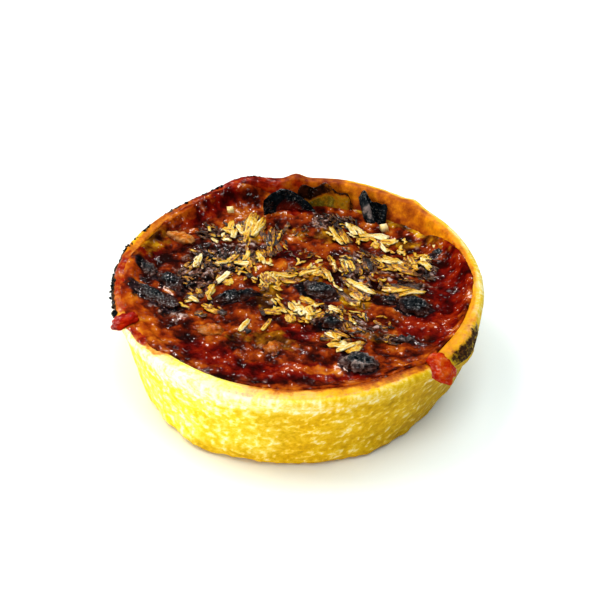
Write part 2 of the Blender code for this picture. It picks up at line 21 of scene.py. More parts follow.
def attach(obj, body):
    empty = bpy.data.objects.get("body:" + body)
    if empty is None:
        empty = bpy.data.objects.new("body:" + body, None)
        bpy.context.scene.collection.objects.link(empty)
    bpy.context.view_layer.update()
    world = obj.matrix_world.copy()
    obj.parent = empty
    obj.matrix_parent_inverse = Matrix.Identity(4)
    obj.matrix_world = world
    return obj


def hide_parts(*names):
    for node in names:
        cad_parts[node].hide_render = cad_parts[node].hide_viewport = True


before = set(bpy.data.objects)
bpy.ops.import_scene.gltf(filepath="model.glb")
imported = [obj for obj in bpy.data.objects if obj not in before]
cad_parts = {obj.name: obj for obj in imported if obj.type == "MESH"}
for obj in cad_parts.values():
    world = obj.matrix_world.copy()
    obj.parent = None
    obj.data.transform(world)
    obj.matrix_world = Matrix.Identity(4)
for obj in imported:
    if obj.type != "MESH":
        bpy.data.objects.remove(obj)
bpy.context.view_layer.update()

MM = 0.001
LOG = logging.getLogger("quiche")
MIX_A, MIX_B, MIX_RESULT = 6, 7, 2  # the colour sockets of a Mix node

Socket = bpy.types.NodeSocket
Stops = tuple[tuple[float, str], ...]  # places and hex colours of a colour ramp


# ---------------------------------------------------------------- small tools


def ramp(low: float, high: float, value: float) -> float:
    """0 below low, 1 above high, and smooth between them."""
    t = min(1.0, max(0.0, (value - low) / (high - low)))
    return t * t * (3.0 - 2.0 * t)


def ripple(x: float, y: float, z: float, size: float) -> float:
    """Smooth noise of about -1 to 1, with features of that size."""
    return noise.noise(Vector((x, y, z)) / size)


def crumple(x: float, y: float, z: float, size: float, octaves: int = 4) -> float:
    """Noise of about -1 to 1 with features of that size and finer ones on them."""
    return noise.fractal(Vector((x, y, z)) / size, 0.9, 2.1, octaves)


def linear(code: str) -> tuple[float, float, float, float]:
    """An sRGB hex colour as the linear one that a shader takes.

    Args:
        code: Six hex digits after a #.

    Returns:
        Red, green, blue and an alpha of 1.
    """
    parts = [int(code[i : i + 2], 16) / 255.0 for i in (1, 3, 5)]
    red, green, blue = (c / 12.92 if c <= 0.04045 else ((c + 0.055) / 1.055) ** 2.4 for c in parts)
    return red, green, blue, 1.0


def set_inputs(tree: bpy.types.NodeTree, node: bpy.types.Node, inputs: dict[Any, Any]) -> None:
    """Sets or links a node's sockets.

    Args:
        tree: The material's node tree.
        node: The node.
        inputs: A value, a hex colour or another node's output for each named or numbered socket.
    """
    for socket, value in inputs.items():
        if isinstance(value, Socket):
            tree.links.new(value, node.inputs[socket])
        else:
            node.inputs[socket].default_value = linear(value) if isinstance(value, str) else value


def add_node(
    tree: bpy.types.NodeTree,
    kind: str,
    inputs: dict[Any, Any] | None = None,
    stops: Stops = (),
    **settings: Any,
) -> bpy.types.Node:
    """Adds a node with its settings and links.

    Args:
        tree: The material's node tree.
        kind: The node's type.
        inputs: What set_inputs puts in its sockets.
        stops: Places and hex colours, for a colour ramp.
        settings: The node's own properties.

    Returns:
        The new node.
    """
    node = tree.nodes.new(kind)
    for name, value in settings.items():
        setattr(node, name, value)
    set_inputs(tree, node, inputs or {})
    for number, (place, code) in enumerate(stops):
        elements = node.color_ramp.elements
        element = elements[number] if number < 2 else elements.new(place)
        element.position = place
        element.color = linear(code)
    return node


def stamp(bm: bmesh.types.BMesh, pattern: bpy.types.Mesh) -> Sequence[bmesh.types.BMVert]:
    """Adds a copy of a pattern mesh to bm and returns its vertices."""
    first = len(bm.verts)
    bm.from_mesh(pattern)
    bm.verts.ensure_lookup_table()
    return bm.verts[first:]


def pattern_mesh(name: str, bm: bmesh.types.BMesh) -> bpy.types.Mesh:
    """A mesh to stamp, made from bm, which is freed."""
    mesh = bpy.data.meshes.new(name)
    bm.to_mesh(mesh)
    bm.free()
    return mesh


def block_pattern(name: str, cuts: int, rounding: float, grooved: bool = False) -> bpy.types.Mesh:
    """A bar of length, width and depth 1 along X with rounded edges.

    Args:
        name: The mesh's name.
        cuts: How many times it is cut across.
        rounding: The share of its side that is rounded.
        grooved: Whether it gets points along the middle of its top and bottom too.

    Returns:
        The mesh to stamp.
    """
    bm = bmesh.new()
    bmesh.ops.create_cube(bm, size=1.0)
    long_edges = [e for e in bm.edges if abs(e.verts[0].co.x - e.verts[1].co.x) > 0.5]
    bmesh.ops.bevel(
        bm, geom=long_edges, offset=rounding, segments=1, profile=0.5, affect="EDGES", material=-1
    )
    across = [e for e in bm.edges if abs(e.verts[0].co.y - e.verts[1].co.y) > 0.4]
    if grooved:
        bmesh.ops.subdivide_edges(bm, edges=across, cuts=1)
    long_edges = [e for e in bm.edges if abs(e.verts[0].co.x - e.verts[1].co.x) > 0.5]
    if cuts:
        bmesh.ops.subdivide_edges(bm, edges=long_edges, cuts=cuts)
    return pattern_mesh(name, bm)


def ball_pattern(name: str, finer: int) -> bpy.types.Mesh:
    """A ball of diameter 1 to stamp; finer is its number of subdivisions."""
    bm = bmesh.new()
    bmesh.ops.create_icosphere(bm, subdivisions=finer, radius=0.5)
    return pattern_mesh(name, bm)


def finish_piece(
    name: str,
    bm: bmesh.types.BMesh,
    material: bpy.types.Material,
    nodes: Sequence[str],
) -> bpy.types.Object:
    """Makes the finished piece of a bmesh and puts it in the frame.

    Args:
        name: The piece's name.
        bm: Its mesh, which is freed.
        material: Its finish.
        nodes: The CAD nodes that it stands for.

    Returns:
        The piece's object.
    """
    bmesh.ops.recalc_face_normals(bm, faces=bm.faces)
    mesh = pattern_mesh(name, bm)
    mesh.materials.append(material)
    mesh.shade_smooth()
    piece = bpy.data.objects.new(name, mesh)
    bpy.context.scene.collection.objects.link(piece)
    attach(piece, "root")
    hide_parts(*nodes)
    LOG.info("%s: %d vertices, %d faces", name, len(mesh.vertices), len(mesh.polygons))
    return piece


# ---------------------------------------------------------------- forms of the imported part


@dataclass(frozen=True)
class Bell:
    """A smooth rise round the rim: its angle and spread in degrees, and its height."""

    angle: float
    spread: float
    height: float

    def at(self, angle: float) -> float:
        """Its height at an angle."""
        away = (angle - self.angle + 180.0) % 360.0 - 180.0
        return self.height * math.exp(-((away / self.spread) ** 2))


@dataclass(frozen=True)
class Swelling:
    """A swelling of the outer wall, between two heights."""

    ring: Bell
    low: float
    high: float
    fade: float = 5.0 * MM

    def at(self, angle: float, z: float) -> float:
        """How far the wall swells at a place."""
        share = ramp(self.low, self.low + self.fade, z) * (1.0 - ramp(self.high - self.fade, self.high, z))
        return share * self.ring.at(angle)


@dataclass(frozen=True)
class CaseForm:
    """The form of the pastry case."""

    height: float = 30.0 * MM
    rim_radius: float = 55.0 * MM
    base_radius: float = 47.0 * MM
    flat_radius: float = 43.5 * MM
    wall: float = 4.1 * MM
    floor: float = 4.0 * MM
    lip_height: float = 3.6 * MM
    lip_step: float = 0.45 * MM
    lean: tuple[float, float] = (-1.5 * MM, -1.4 * MM)
    front_wall: Bell = Bell(-108.0, 62.0, 1.7 * MM)
    rim_rises: tuple[Bell, ...] = (
        Bell(109.0, 8.0, 2.2 * MM),
        Bell(91.0, 3.0, 1.5 * MM),
        Bell(70.0, 24.0, 0.5 * MM),
        Bell(47.5, 3.0, 0.9 * MM),
        Bell(-44.0, 6.5, -2.0 * MM),
    )
    rim_wave: float = 0.4 * MM
    browned_slope: Bell = Bell(-31.0, 9.5, -2.7 * MM)
    charred_edge: Bell = Bell(178.0, 19.0, 0.7 * MM)
    swellings: tuple[Swelling, ...] = (
        Swelling(Bell(-21.0, 13.0, 2.0 * MM), 3.0 * MM, 27.0 * MM),
        Swelling(Bell(-31.0, 9.0, 1.7 * MM), 16.0 * MM, 40.0 * MM),
        Swelling(Bell(14.0, 24.0, -0.45 * MM), 14.0 * MM, 40.0 * MM),
        Swelling(Bell(-124.0, 17.0, 1.6 * MM), -6.0 * MM, 9.0 * MM),
        Swelling(Bell(-66.0, 15.0, 1.0 * MM), -6.0 * MM, 8.0 * MM),
    )
    wall_bump: float = 0.45 * MM
    wall_bump_size: float = 6.5 * MM
    foot_bump: float = 0.9 * MM
    foot_bump_size: float = 6.0 * MM

    @property
    def taper(self) -> float:
        """How far the wall leans outwards for each metre of height."""
        return (self.rim_radius - self.base_radius) / self.height

    def inner_radius(self, angle: float, z: float) -> float:
        """Radius of the inner wall."""
        return self.rim_radius - self.wall - self.front_wall.at(angle) - (self.height - z) * self.taper

    def shift(self, z: float) -> Vector:
        """Sideways shift of the case at a height."""
        return Vector((*self.lean, 0.0)) * (1.0 - z / self.height)

    def rise(self, angle: float) -> float:
        """How far the rim stands above or below its usual height."""
        a = math.radians(angle)
        wave = self.rim_wave * ripple(3.0 * math.cos(a), 3.0 * math.sin(a), 0.5, 1.0)
        return wave + sum(bell.at(angle) for bell in self.rim_rises)

    def inward(self, p: Vector) -> float:
        """How far through the wall a point of the plain case lies: 0 outside and 1 inside."""
        return (self.rim_radius - (self.height - p.z) * self.taper - p.xy.length) / self.wall

    def outline(self) -> list[tuple[float, float]]:
        """The section from the edge of the underside, up the outside, over the rim and down to the floor."""
        shoulder = self.height - self.lip_height
        base = self.base_radius
        foot = [(self.flat_radius, 0.0), (base - 1.2 * MM, 0.4 * MM), (base, 1.8 * MM)]
        levels = (6.0 * MM, 11.0 * MM, 16.0 * MM, 21.0 * MM, shoulder)
        outer = [(base + z * self.taper - self.lip_step, z) for z in levels]
        rim = [
            (self.rim_radius - 0.35 * MM, shoulder + 0.7 * MM),
            (self.rim_radius, self.height - 1.3 * MM),
            (self.rim_radius - 0.5 * MM, self.height - 0.3 * MM),
            (self.rim_radius - 1.5 * MM, self.height),
            (self.rim_radius - self.wall + 0.7 * MM, self.height),
            (self.rim_radius - self.wall, self.height - 0.7 * MM),
        ]
        inside = self.rim_radius - self.wall
        inner = [(inside - (self.height - z) * self.taper, z) for z in (22.0 * MM, 13.0 * MM, 5.5 * MM)]
        inner.append((inside - (self.height - self.floor) * self.taper - 1.4 * MM, self.floor))
        return foot + outer + rim + inner

    def place(self, p: Vector) -> Vector:
        """Moves a point of the plain turned case to its place on the uneven one."""
        radius, angle, z = p.xy.length, math.degrees(math.atan2(p.y, p.x)), p.z
        if radius < 0.5 * self.flat_radius:
            return p + self.shift(z)
        rise = self.rise(angle) * ramp(0.6 * self.height, self.height, z)
        inward = self.inward(p)
        moved = radius + rise * self.taper
        if inward > 0.5 and z > 0.5 * self.floor:
            moved -= self.front_wall.at(angle)
        else:
            shoulder = self.height - self.lip_height
            wall_share = ramp(2.0 * MM, 8.0 * MM, z) * (1.0 - ramp(shoulder - MM, shoulder, z))
            foot_share = ramp(0.1 * MM, MM, z) * (1.0 - ramp(3.0 * MM, 9.0 * MM, z))
            char_share = ramp(self.height - 4.0 * MM, self.height - 2.0 * MM, z)
            outer_share = 1.0 - ramp(0.3, 0.5, inward) * ramp(0.5 * self.height, 0.8 * self.height, z)
            moved += outer_share * sum(swelling.at(angle, z) for swelling in self.swellings)
            moved += self.wall_bump * wall_share * ripple(*p, self.wall_bump_size)
            moved += self.foot_bump * foot_share * ripple(*p, self.foot_bump_size)
            moved += char_share * self.charred_edge.at(angle) * ripple(*p, 1.7 * MM)
            fall = (1.0 - ramp(0.0, 0.38, inward)) * ramp(20.0 * MM, 28.0 * MM, z)
            rise += self.browned_slope.at(angle) * fall
        return p * Vector((moved / radius, moved / radius, 1.0)) + Vector((0.0, 0.0, rise)) + self.shift(z)


@dataclass(frozen=True)
class Mound:
    """A round rise or hollow of the filling (mm)."""

    x: float
    y: float
    reach: float
    height: float

    def at(self, x: float, y: float) -> float:
        """Its height at a place, in metres."""
        away = ((x / MM - self.x) ** 2 + (y / MM - self.y) ** 2) / self.reach**2
        return self.height * MM * math.exp(-away)


@dataclass(frozen=True)
class FillingForm:
    """The form of the filling's surface."""

    case: CaseForm = CaseForm()
    gap: float = 0.02 * MM
    level: float = 26.7 * MM
    slope: tuple[float, float] = (-0.034, -0.030)
    mounds: tuple[Mound, ...] = (
        Mound(27.0, 37.0, 15.0, -2.4),
        Mound(-47.0, -6.0, 14.0, 0.9),
        Mound(-16.5, -12.6, 4.6, 1.7),
        Mound(-1.0, 39.0, 5.5, 1.5),
        Mound(-16.0, 46.5, 7.0, 1.2),
    )
    edge_roll: float = 1.1 * MM
    edge_reach: float = 3.0 * MM
    broad_wave: float = 1.0 * MM
    broad_wave_size: float = 10.0 * MM
    small_wave: float = 0.55 * MM
    small_wave_size: float = 5.2 * MM

    def height(self, x: float, y: float) -> float:
        """Height of the surface, before it rolls down at the edge."""
        z = self.level + self.slope[0] * x + self.slope[1] * y
        z += sum(mound.at(x, y) for mound in self.mounds)
        z += self.broad_wave * ripple(x, y, 0.003, self.broad_wave_size)
        return z + self.small_wave * ripple(x, y, 0.017, self.small_wave_size)

    def inside(self, x: float, y: float) -> float:
        """How far a place is from the inner wall."""
        return self.case.inner_radius(math.degrees(math.atan2(y, x)), self.level) - math.hypot(x, y)

    def rolled(self, x: float, y: float) -> float:
        """Height of the surface with its rolled edge."""
        return self.height(x, y) - self.edge_roll * (1.0 - ramp(0.0, self.edge_reach, self.inside(x, y)))


CASE = CaseForm()
SURFACE = FillingForm(CASE)


# ---------------------------------------------------------------- finishes


def new_finish(name: str) -> tuple[bpy.types.Material, bpy.types.NodeTree, Socket]:
    """Starts a material.

    Args:
        name: Its name.

    Returns:
        The material, its node tree and the Object coordinates that its patterns read.
    """
    material = bpy.data.materials.new(name)
    material.use_nodes = True
    tree = material.node_tree
    return material, tree, add_node(tree, "ShaderNodeTexCoord").outputs["Object"]


@dataclass(frozen=True)
class OilBeads:
    """Oily beads over a finish, so that it glints in points and stays deep in colour between them. They start
    and are full at two values of their noise, come in crowds, and are drawn about three times as coarse as
    real ones, which are too fine to show."""

    start: float
    full: float
    size: float = 0.8 * MM
    crowd_size: float = 4.7619 * MM
    crowding: float = 0.7
    strength: float = 0.9
    depth: float = 0.7 * MM

    def lay(
        self, tree: bpy.types.NodeTree, where: Socket, normal: Socket, mask: Socket | None = None
    ) -> None:
        """Lays the beads on the shader's coat.

        Args:
            tree: The material's node tree.
            where: The Object coordinates.
            normal: The normal that the beads lie on.
            mask: Where they lie, if not everywhere.
        """
        beads = add_node(
            tree,
            "ShaderNodeTexNoise",
            {"Vector": where, "Scale": 1.0 / self.size, "Detail": 1.0, "Roughness": 0.5},
        ).outputs[0]
        crowd = add_node(
            tree, "ShaderNodeTexNoise", {"Vector": where, "Scale": 1.0 / self.crowd_size, "Detail": 1.0}
        ).outputs[0]
        crowd = add_node(tree, "ShaderNodeMath", {0: crowd, 1: 0.5}, operation="SUBTRACT").outputs[0]
        crowd = add_node(
            tree, "ShaderNodeMath", {0: crowd, 1: self.crowding, 2: beads}, operation="MULTIPLY_ADD"
        ).outputs[0]
        wet = add_node(
            tree, "ShaderNodeMapRange", {"Value": crowd, "From Min": self.start, "From Max": self.full}
        ).outputs[0]
        if mask:
            wet = add_node(tree, "ShaderNodeMath", {0: wet, 1: mask}, operation="MULTIPLY").outputs[0]
        bump = add_node(
            tree,
            "ShaderNodeBump",
            {"Strength": self.strength, "Distance": self.depth, "Height": beads, "Normal": normal},
        )
        coat = {"Coat Weight": wet, "Coat Normal": bump.outputs[0], "Coat Roughness": 0.08, "Coat IOR": 1.5}
        set_inputs(tree, tree.nodes["Principled BSDF"], coat)


@dataclass(frozen=True)
class Layer:
    """A colour over another one. It lies where its vertex attribute passes a middle value, with an edge that
    is ragged and soft by given amounts."""

    mask: str
    stops: Stops
    ragged: float
    middle: float = 0.5
    softness: float = 0.25
    roughness: float = 0.5

    def lay(
        self, tree: bpy.types.NodeTree, colour: Socket, along: Socket, rough_edge: Socket
    ) -> tuple[Socket, Socket]:
        """Mixes the layer over a colour.

        Args:
            tree: The material's node tree.
            colour: The colour under it.
            along: What picks the place along its own colours.
            rough_edge: The noise that makes its edge ragged.

        Returns:
            The new colour, and how much of it is the layer's, from 0 to 1.
        """
        mask = add_node(tree, "ShaderNodeAttribute", attribute_name=self.mask).outputs["Fac"]
        edge = add_node(tree, "ShaderNodeMath", {0: rough_edge, 1: 0.5}, operation="SUBTRACT").outputs[0]
        edge = add_node(
            tree, "ShaderNodeMath", {0: edge, 1: self.ragged, 2: mask}, operation="MULTIPLY_ADD"
        ).outputs[0]
        share = add_node(
            tree,
            "ShaderNodeMapRange",
            {"Value": edge, "From Min": self.middle - self.softness, "From Max": self.middle + self.softness},
            interpolation_type="SMOOTHSTEP",
        ).outputs[0]
        tone = add_node(tree, "ShaderNodeValToRGB", {"Fac": along}, self.stops).outputs[0]
        mixed = add_node(
            tree, "ShaderNodeMix", {0: share, MIX_A: colour, MIX_B: tone}, data_type="RGBA"
        ).outputs[MIX_RESULT]
        return mixed, share


@dataclass(frozen=True)
class BakedPastry:
    """Shortcrust pastry pressed in a mould and baked: matt gold where its butter came through, with floury
    cream flecks. Light and shade are painted round the case: it is paler where its level of painted light is
    high, at the left of the quiche, and darker where that level is below 0, at the right."""

    name: str = "baked_shortcrust_pastry"
    golden: Stops = (
        (0.30, "#b88604"),
        (0.46, "#d6a206"),
        (0.57, "#e4b414"),
        (0.66, "#eec850"),
        (0.80, "#f6e6b0"),
    )
    # Colours where light is painted on, as at the left of the case.
    painted_light: Stops = (
        (0.28, "#e4c014"),
        (0.44, "#efd92c"),
        (0.56, "#f7ee72"),
        (0.66, "#fbf6b2"),
        (0.80, "#fffbe0"),
    )
    soaked: Layer = Layer(
        mask="soak",
        stops=((0.0, "#e8a814"), (0.42, "#d67c04"), (0.70, "#a44e02"), (1.0, "#6c1c01")),
        ragged=0.7,
        middle=0.30,
        softness=0.28,
        roughness=0.45,
    )
    burnt: Layer = Layer(
        mask="burnt",
        stops=((0.3, "#0c0704"), (0.5, "#2c1606"), (0.66, "#58300a"), (0.85, "#8a5c20")),
        ragged=1.7,
        softness=0.28,
        roughness=0.7,
    )
    sauce: Layer = Layer(
        mask="sauce",
        stops=(
            (0.16, "#300200"),
            (0.36, "#5c0801"),
            (0.48, "#8c1a02"),
            (0.56, "#983608"),
            (0.66, "#b05614"),
            (0.80, "#c88450"),
        ),
        ragged=0.6,
        softness=0.28,
        roughness=0.14,
    )
    matt: float = 0.6
    fleck_size: float = 1.6129 * MM
    fleck_squeeze: float = 1.15
    patch_size: float = 9.09091 * MM
    cloud_size: float = 3.33333 * MM
    grain_size: float = 0.666667 * MM
    paleness: tuple[float, float, float] = (0.62, 0.34, 0.2)
    mottling: float = -1.4
    relief: float = 0.3 * MM
    beads: OilBeads = OilBeads(0.60, 0.68, 0.909091 * MM)

    def crumb(self, tree: bpy.types.NodeTree, pale: Socket) -> Socket:
        """The pastry's colour, with painted light at the left of the case and painted shade at the right.

        Args:
            tree: The material's node tree.
            pale: How pale it is, about 0 to 1.

        Returns:
            The colour.
        """
        painted_light_level = add_node(tree, "ShaderNodeAttribute", attribute_name="painted_light").outputs["Fac"]
        golden = add_node(tree, "ShaderNodeValToRGB", {"Fac": pale}, self.golden).outputs[0]
        painted_light = add_node(tree, "ShaderNodeValToRGB", {"Fac": pale}, self.painted_light).outputs[0]
        colour = add_node(
            tree, "ShaderNodeMix", {0: painted_light_level, MIX_A: golden, MIX_B: painted_light}, data_type="RGBA"
        ).outputs[MIX_RESULT]
        # Painted shade: where the level of painted light is below 0, as at the right of the case, the colour
        # is darkened to as little as half.
        shade = add_node(
            tree, "ShaderNodeMapRange", {"Value": painted_light_level, "From Min": -1.0, "From Max": 0.0, "To Min": 0.5}
        ).outputs[0]
        return add_node(
            tree,
            "ShaderNodeMix",
            {0: 1.0, MIX_A: colour, MIX_B: shade},
            data_type="RGBA",
            blend_type="MULTIPLY",
        ).outputs[MIX_RESULT]

    def build(self) -> bpy.types.Material:
        """Makes the material. It reads the vertex attributes relief, soak, sauce, ruddy, burnt and the one
        that holds the level of painted light and shade.
        """
        material, tree, where = new_finish(self.name)
        squeezed = (1.0, 1.0, self.fleck_squeeze)
        rows = add_node(tree, "ShaderNodeMapping", {"Vector": where, "Scale": squeezed}).outputs[0]
        fleck, patch, grain, cloud = (
            add_node(
                tree,
                "ShaderNodeTexNoise",
                {"Vector": place, "Scale": 1.0 / size, "Detail": detail, "Roughness": roughness},
            ).outputs[0]
            for place, size, detail, roughness in (
                (rows, self.fleck_size, 5.0, 0.6),
                (where, self.patch_size, 3.0, 0.5),
                (where, self.grain_size, 4.0, 0.7),
                (where, self.cloud_size, 6.0, 0.66),
            )
        )
        pale, ruddy, soak = (
            add_node(tree, "ShaderNodeAttribute", attribute_name=name).outputs["Fac"]
            for name in ("relief", "ruddy", "soak")
        )
        for pattern, weight in zip((fleck, patch, grain), self.paleness):
            centred = add_node(tree, "ShaderNodeMath", {0: pattern, 1: 0.5}, operation="SUBTRACT").outputs[0]
            pale = add_node(
                tree, "ShaderNodeMath", {0: centred, 1: weight, 2: pale}, operation="MULTIPLY_ADD"
            ).outputs[0]
        cloud = add_node(tree, "ShaderNodeMath", {0: cloud, 1: ruddy}, operation="SUBTRACT").outputs[0]
        mottled = add_node(tree, "ShaderNodeMath", {0: cloud, 1: 0.5}, operation="SUBTRACT").outputs[0]
        mottled = add_node(
            tree, "ShaderNodeMath", {0: mottled, 1: self.mottling, 2: soak}, operation="MULTIPLY_ADD"
        ).outputs[0]
        colour, rough, share = self.crumb(tree, pale), self.matt, None
        for layer, along in ((self.soaked, mottled), (self.burnt, grain), (self.sauce, cloud)):
            colour, share = layer.lay(tree, colour, along, fleck)
            rough = add_node(
                tree, "ShaderNodeMapRange", {"Value": share, "To Min": rough, "To Max": layer.roughness}
            ).outputs[0]
        bumps = add_node(
            tree, "ShaderNodeMath", {0: grain, 1: 0.6, 2: fleck}, operation="MULTIPLY_ADD"
        ).outputs[0]
        strength = add_node(
            tree, "ShaderNodeMapRange", {"Value": share, "To Min": 0.4, "To Max": 0.2}
        ).outputs[0]
        normal = add_node(
            tree, "ShaderNodeBump", {"Strength": strength, "Distance": self.relief, "Height": bumps}
        ).outputs[0]
        surface = {"Base Color": colour, "Roughness": rough, "Normal": normal, "IOR": 1.12}
        set_inputs(tree, tree.nodes["Principled BSDF"], surface)
        self.beads.lay(tree, where, normal, share)
        return material


@dataclass(frozen=True)
class TomatoSauce:
    """Tomato sauce and egg baked dark: wet and oily, so it throws many small hard glints over a deep red
    without haze. More glints are painted on as pale pink specks, most on its ridges, and its colour is
    painted darker in the hollows of its relief and lighter on its ridges. Each tint is a layer that lies
    where the vertex attribute of its name says."""

    name: str = "baked_tomato_sauce"
    pulp: Stops = (
        (0.33, "#160201"),
        (0.41, "#320601"),
        (0.47, "#4c1002"),
        (0.52, "#681c03"),
        (0.58, "#7e2b05"),
        (0.66, "#984408"),
        (0.78, "#b67236"),
    )
    wet_tints: tuple[Layer, ...] = (
        Layer(
            mask="maroon",
            stops=(
                (0.32, "#200100"),
                (0.44, "#420201"),
                (0.54, "#640801"),
                (0.66, "#842003"),
                (0.78, "#a4481c"),
            ),
            ragged=0.8,
        ),
        Layer(
            mask="orange",
            stops=(
                (0.30, "#581002"),
                (0.44, "#862a03"),
                (0.54, "#a24606"),
                (0.66, "#ba6612"),
                (0.78, "#cc8a40"),
            ),
            ragged=1.2,
        ),
        Layer(
            mask="amber",
            stops=(
                (0.30, "#2c1002"),
                (0.44, "#623404"),
                (0.54, "#8c5806"),
                (0.66, "#ba860a"),
                (0.78, "#e0bc44"),
            ),
            ragged=1.3,
        ),
    )
    # The palest colours of the burnt and charred tints, reached on the ridges of their wrinkles, are painted
    # highlights.
    dry_tints: tuple[Layer, ...] = (
        Layer(
            mask="burnt",
            stops=(
                (0.34, "#050303"),
                (0.45, "#1a0b08"),
                (0.53, "#3e2018"),
                (0.60, "#6c4638"),
                (0.70, "#a88e88"),
            ),
            ragged=1.5,
        ),
        Layer(
            mask="charred",
            stops=((0.34, "#020203"), (0.5, "#10080a"), (0.62, "#281618"), (0.76, "#6c5450")),
            ragged=1.2,
        ),
    )
    # Painted glints: pale pink specks of this colour, where their noise, lifted on ridges and in crowds,
    # passes the values below; they are about a millimetre across.
    painted_glint: str = "#e4b8a8"
    painted_glints_from: tuple[float, float] = (1.18, 1.23)
    broad_size: float = 5.88235 * MM
    fine_size: float = 2.08333 * MM
    painted_glint_size: float = 1.05263 * MM
    # How much the relief shifts the tone: painted shade in its hollows and painted light on its ridges.
    painted_crevice_shade: float = 0.24
    relief: float = 0.8 * MM
    beads: OilBeads = OilBeads(0.64, 0.70, 1.05263 * MM)

    def build(self) -> bpy.types.Material:
        """Makes the material. It reads the vertex attributes of the tints and relief."""
        material, tree, where = new_finish(self.name)
        broad, fine, painted_glint = (
            add_node(
                tree,
                "ShaderNodeTexNoise",
                {"Vector": where, "Scale": 1.0 / size, "Detail": detail, "Roughness": roughness},
            ).outputs[0]
            for size, detail, roughness in (
                (self.broad_size, 4.0, 0.56),
                (self.fine_size, 3.0, 0.52),
                (self.painted_glint_size, 2.0, 0.6),
            )
        )
        height = add_node(tree, "ShaderNodeAttribute", attribute_name="relief").outputs["Fac"]
        # Painted shade and light: the relief darkens the tone in its hollows and lightens it on its ridges.
        tone, detail = (
            add_node(
                tree, "ShaderNodeMath", {0: height, 1: self.painted_crevice_shade, 2: pattern}, operation="MULTIPLY_ADD"
            ).outputs[0]
            for pattern in (broad, fine)
        )
        colour = add_node(tree, "ShaderNodeValToRGB", {"Fac": tone}, self.pulp).outputs[0]
        for layers, along in ((self.wet_tints, tone), (self.dry_tints, detail)):
            for layer in layers:
                colour, _ = layer.lay(tree, colour, along, fine)
        # Painted glints: the specks are lifted on ridges and in crowds, then mixed into the colour.
        for pattern, weight in ((height, 0.10), (broad, 0.9)):
            painted_glint = add_node(
                tree, "ShaderNodeMath", {0: pattern, 1: weight, 2: painted_glint}, operation="MULTIPLY_ADD"
            ).outputs[0]
        low, high = self.painted_glints_from
        painted_glint = add_node(
            tree, "ShaderNodeMapRange", {"Value": painted_glint, "From Min": low, "From Max": high, "To Max": 0.85}
        ).outputs[0]
        colour = add_node(
            tree, "ShaderNodeMix", {0: painted_glint, MIX_A: colour, MIX_B: self.painted_glint}, data_type="RGBA"
        ).outputs[MIX_RESULT]
        normal = add_node(
            tree, "ShaderNodeBump", {"Strength": 0.55, "Distance": self.relief, "Height": fine}
        ).outputs[0]
        surface = {"Base Color": colour, "Roughness": 0.5, "Normal": normal, "IOR": 1.04}
        set_inputs(tree, tree.nodes["Principled BSDF"], surface)
        self.beads.lay(tree, where, normal)
        return material


@dataclass(frozen=True)
class BakedCheese:
    """Grated hard cheese, baked: waxy and a little see-through, cream where it lies proud, golden where it
    melted and streaked along its fibres."""

    name: str = "baked_grated_cheese"
    tones: Stops = (
        (0.0, "#060404"),
        (0.12, "#1c0c08"),
        (0.24, "#3e2215"),
        (0.34, "#6a4427"),
        (0.42, "#80460e"),
        (0.52, "#ae6e06"),
        (0.60, "#de9e04"),
        (0.70, "#c8a430"),
        (0.83, "#d6b670"),
        (1.0, "#eedcae"),
    )
    soaked: str = "#64360a"
    patch_size: float = 1.6129 * MM
    grain_size: float = 0.454545 * MM
    streaking: float = 0.6
    contrast: float = 2.0
    relief: float = 0.35 * MM
    beads: OilBeads = OilBeads(0.58, 0.66)

    def build(self) -> bpy.types.Material:
        """Makes the material. It reads the vertex attributes tone and proud, and run and cross, which count
        the streaks along and across the fibres."""
        material, tree, where = new_finish(self.name)
        tone, proud, run, cross = (
            add_node(tree, "ShaderNodeAttribute", attribute_name=name).outputs["Fac"]
            for name in ("tone", "proud", "run", "cross")
        )
        fibres = add_node(tree, "ShaderNodeCombineXYZ", {"X": run, "Y": cross}).outputs[0]
        streak, patch, grain = (
            add_node(
                tree,
                "ShaderNodeTexNoise",
                {"Vector": place, "Scale": scale, "Detail": detail, "Roughness": roughness},
            ).outputs[0]
            for place, scale, detail, roughness in (
                (fibres, 1.0, 3.0, 0.6),
                (where, 1.0 / self.patch_size, 4.0, 0.6),
                (where, 1.0 / self.grain_size, 2.0, 0.5),
            )
        )
        patch = add_node(tree, "ShaderNodeMix", {0: self.streaking, 2: patch, 3: streak}).outputs[0]
        varied = add_node(tree, "ShaderNodeMath", {0: patch, 1: 0.5}, operation="SUBTRACT").outputs[0]
        varied = add_node(
            tree, "ShaderNodeMath", {0: varied, 1: self.contrast, 2: tone}, operation="MULTIPLY_ADD"
        ).outputs[0]
        colour = add_node(tree, "ShaderNodeValToRGB", {"Fac": varied}, self.tones).outputs[0]
        sunk = add_node(
            tree,
            "ShaderNodeMapRange",
            {"Value": proud, "From Min": 0.0, "From Max": 0.4, "To Min": 1.0, "To Max": 0.0},
        ).outputs[0]
        colour = add_node(
            tree, "ShaderNodeMix", {0: sunk, MIX_A: colour, MIX_B: self.soaked}, data_type="RGBA"
        ).outputs[MIX_RESULT]
        normal = add_node(
            tree, "ShaderNodeBump", {"Strength": 0.6, "Distance": self.relief, "Height": streak}
        ).outputs[0]
        rough = add_node(
            tree, "ShaderNodeMapRange", {"Value": grain, "To Min": 0.3, "To Max": 0.5}
        ).outputs[0]
        surface = {"Base Color": colour, "Roughness": rough, "Normal": normal, "IOR": 1.2}
        inner_glow = {
            "Subsurface Weight": 0.15,
            "Subsurface Radius": (1.0, 0.6, 0.2),
            "Subsurface Scale": 0.6 * MM,
        }
        set_inputs(tree, tree.nodes["Principled BSDF"], surface | inner_glow)
        self.beads.lay(tree, where, normal)
        return material


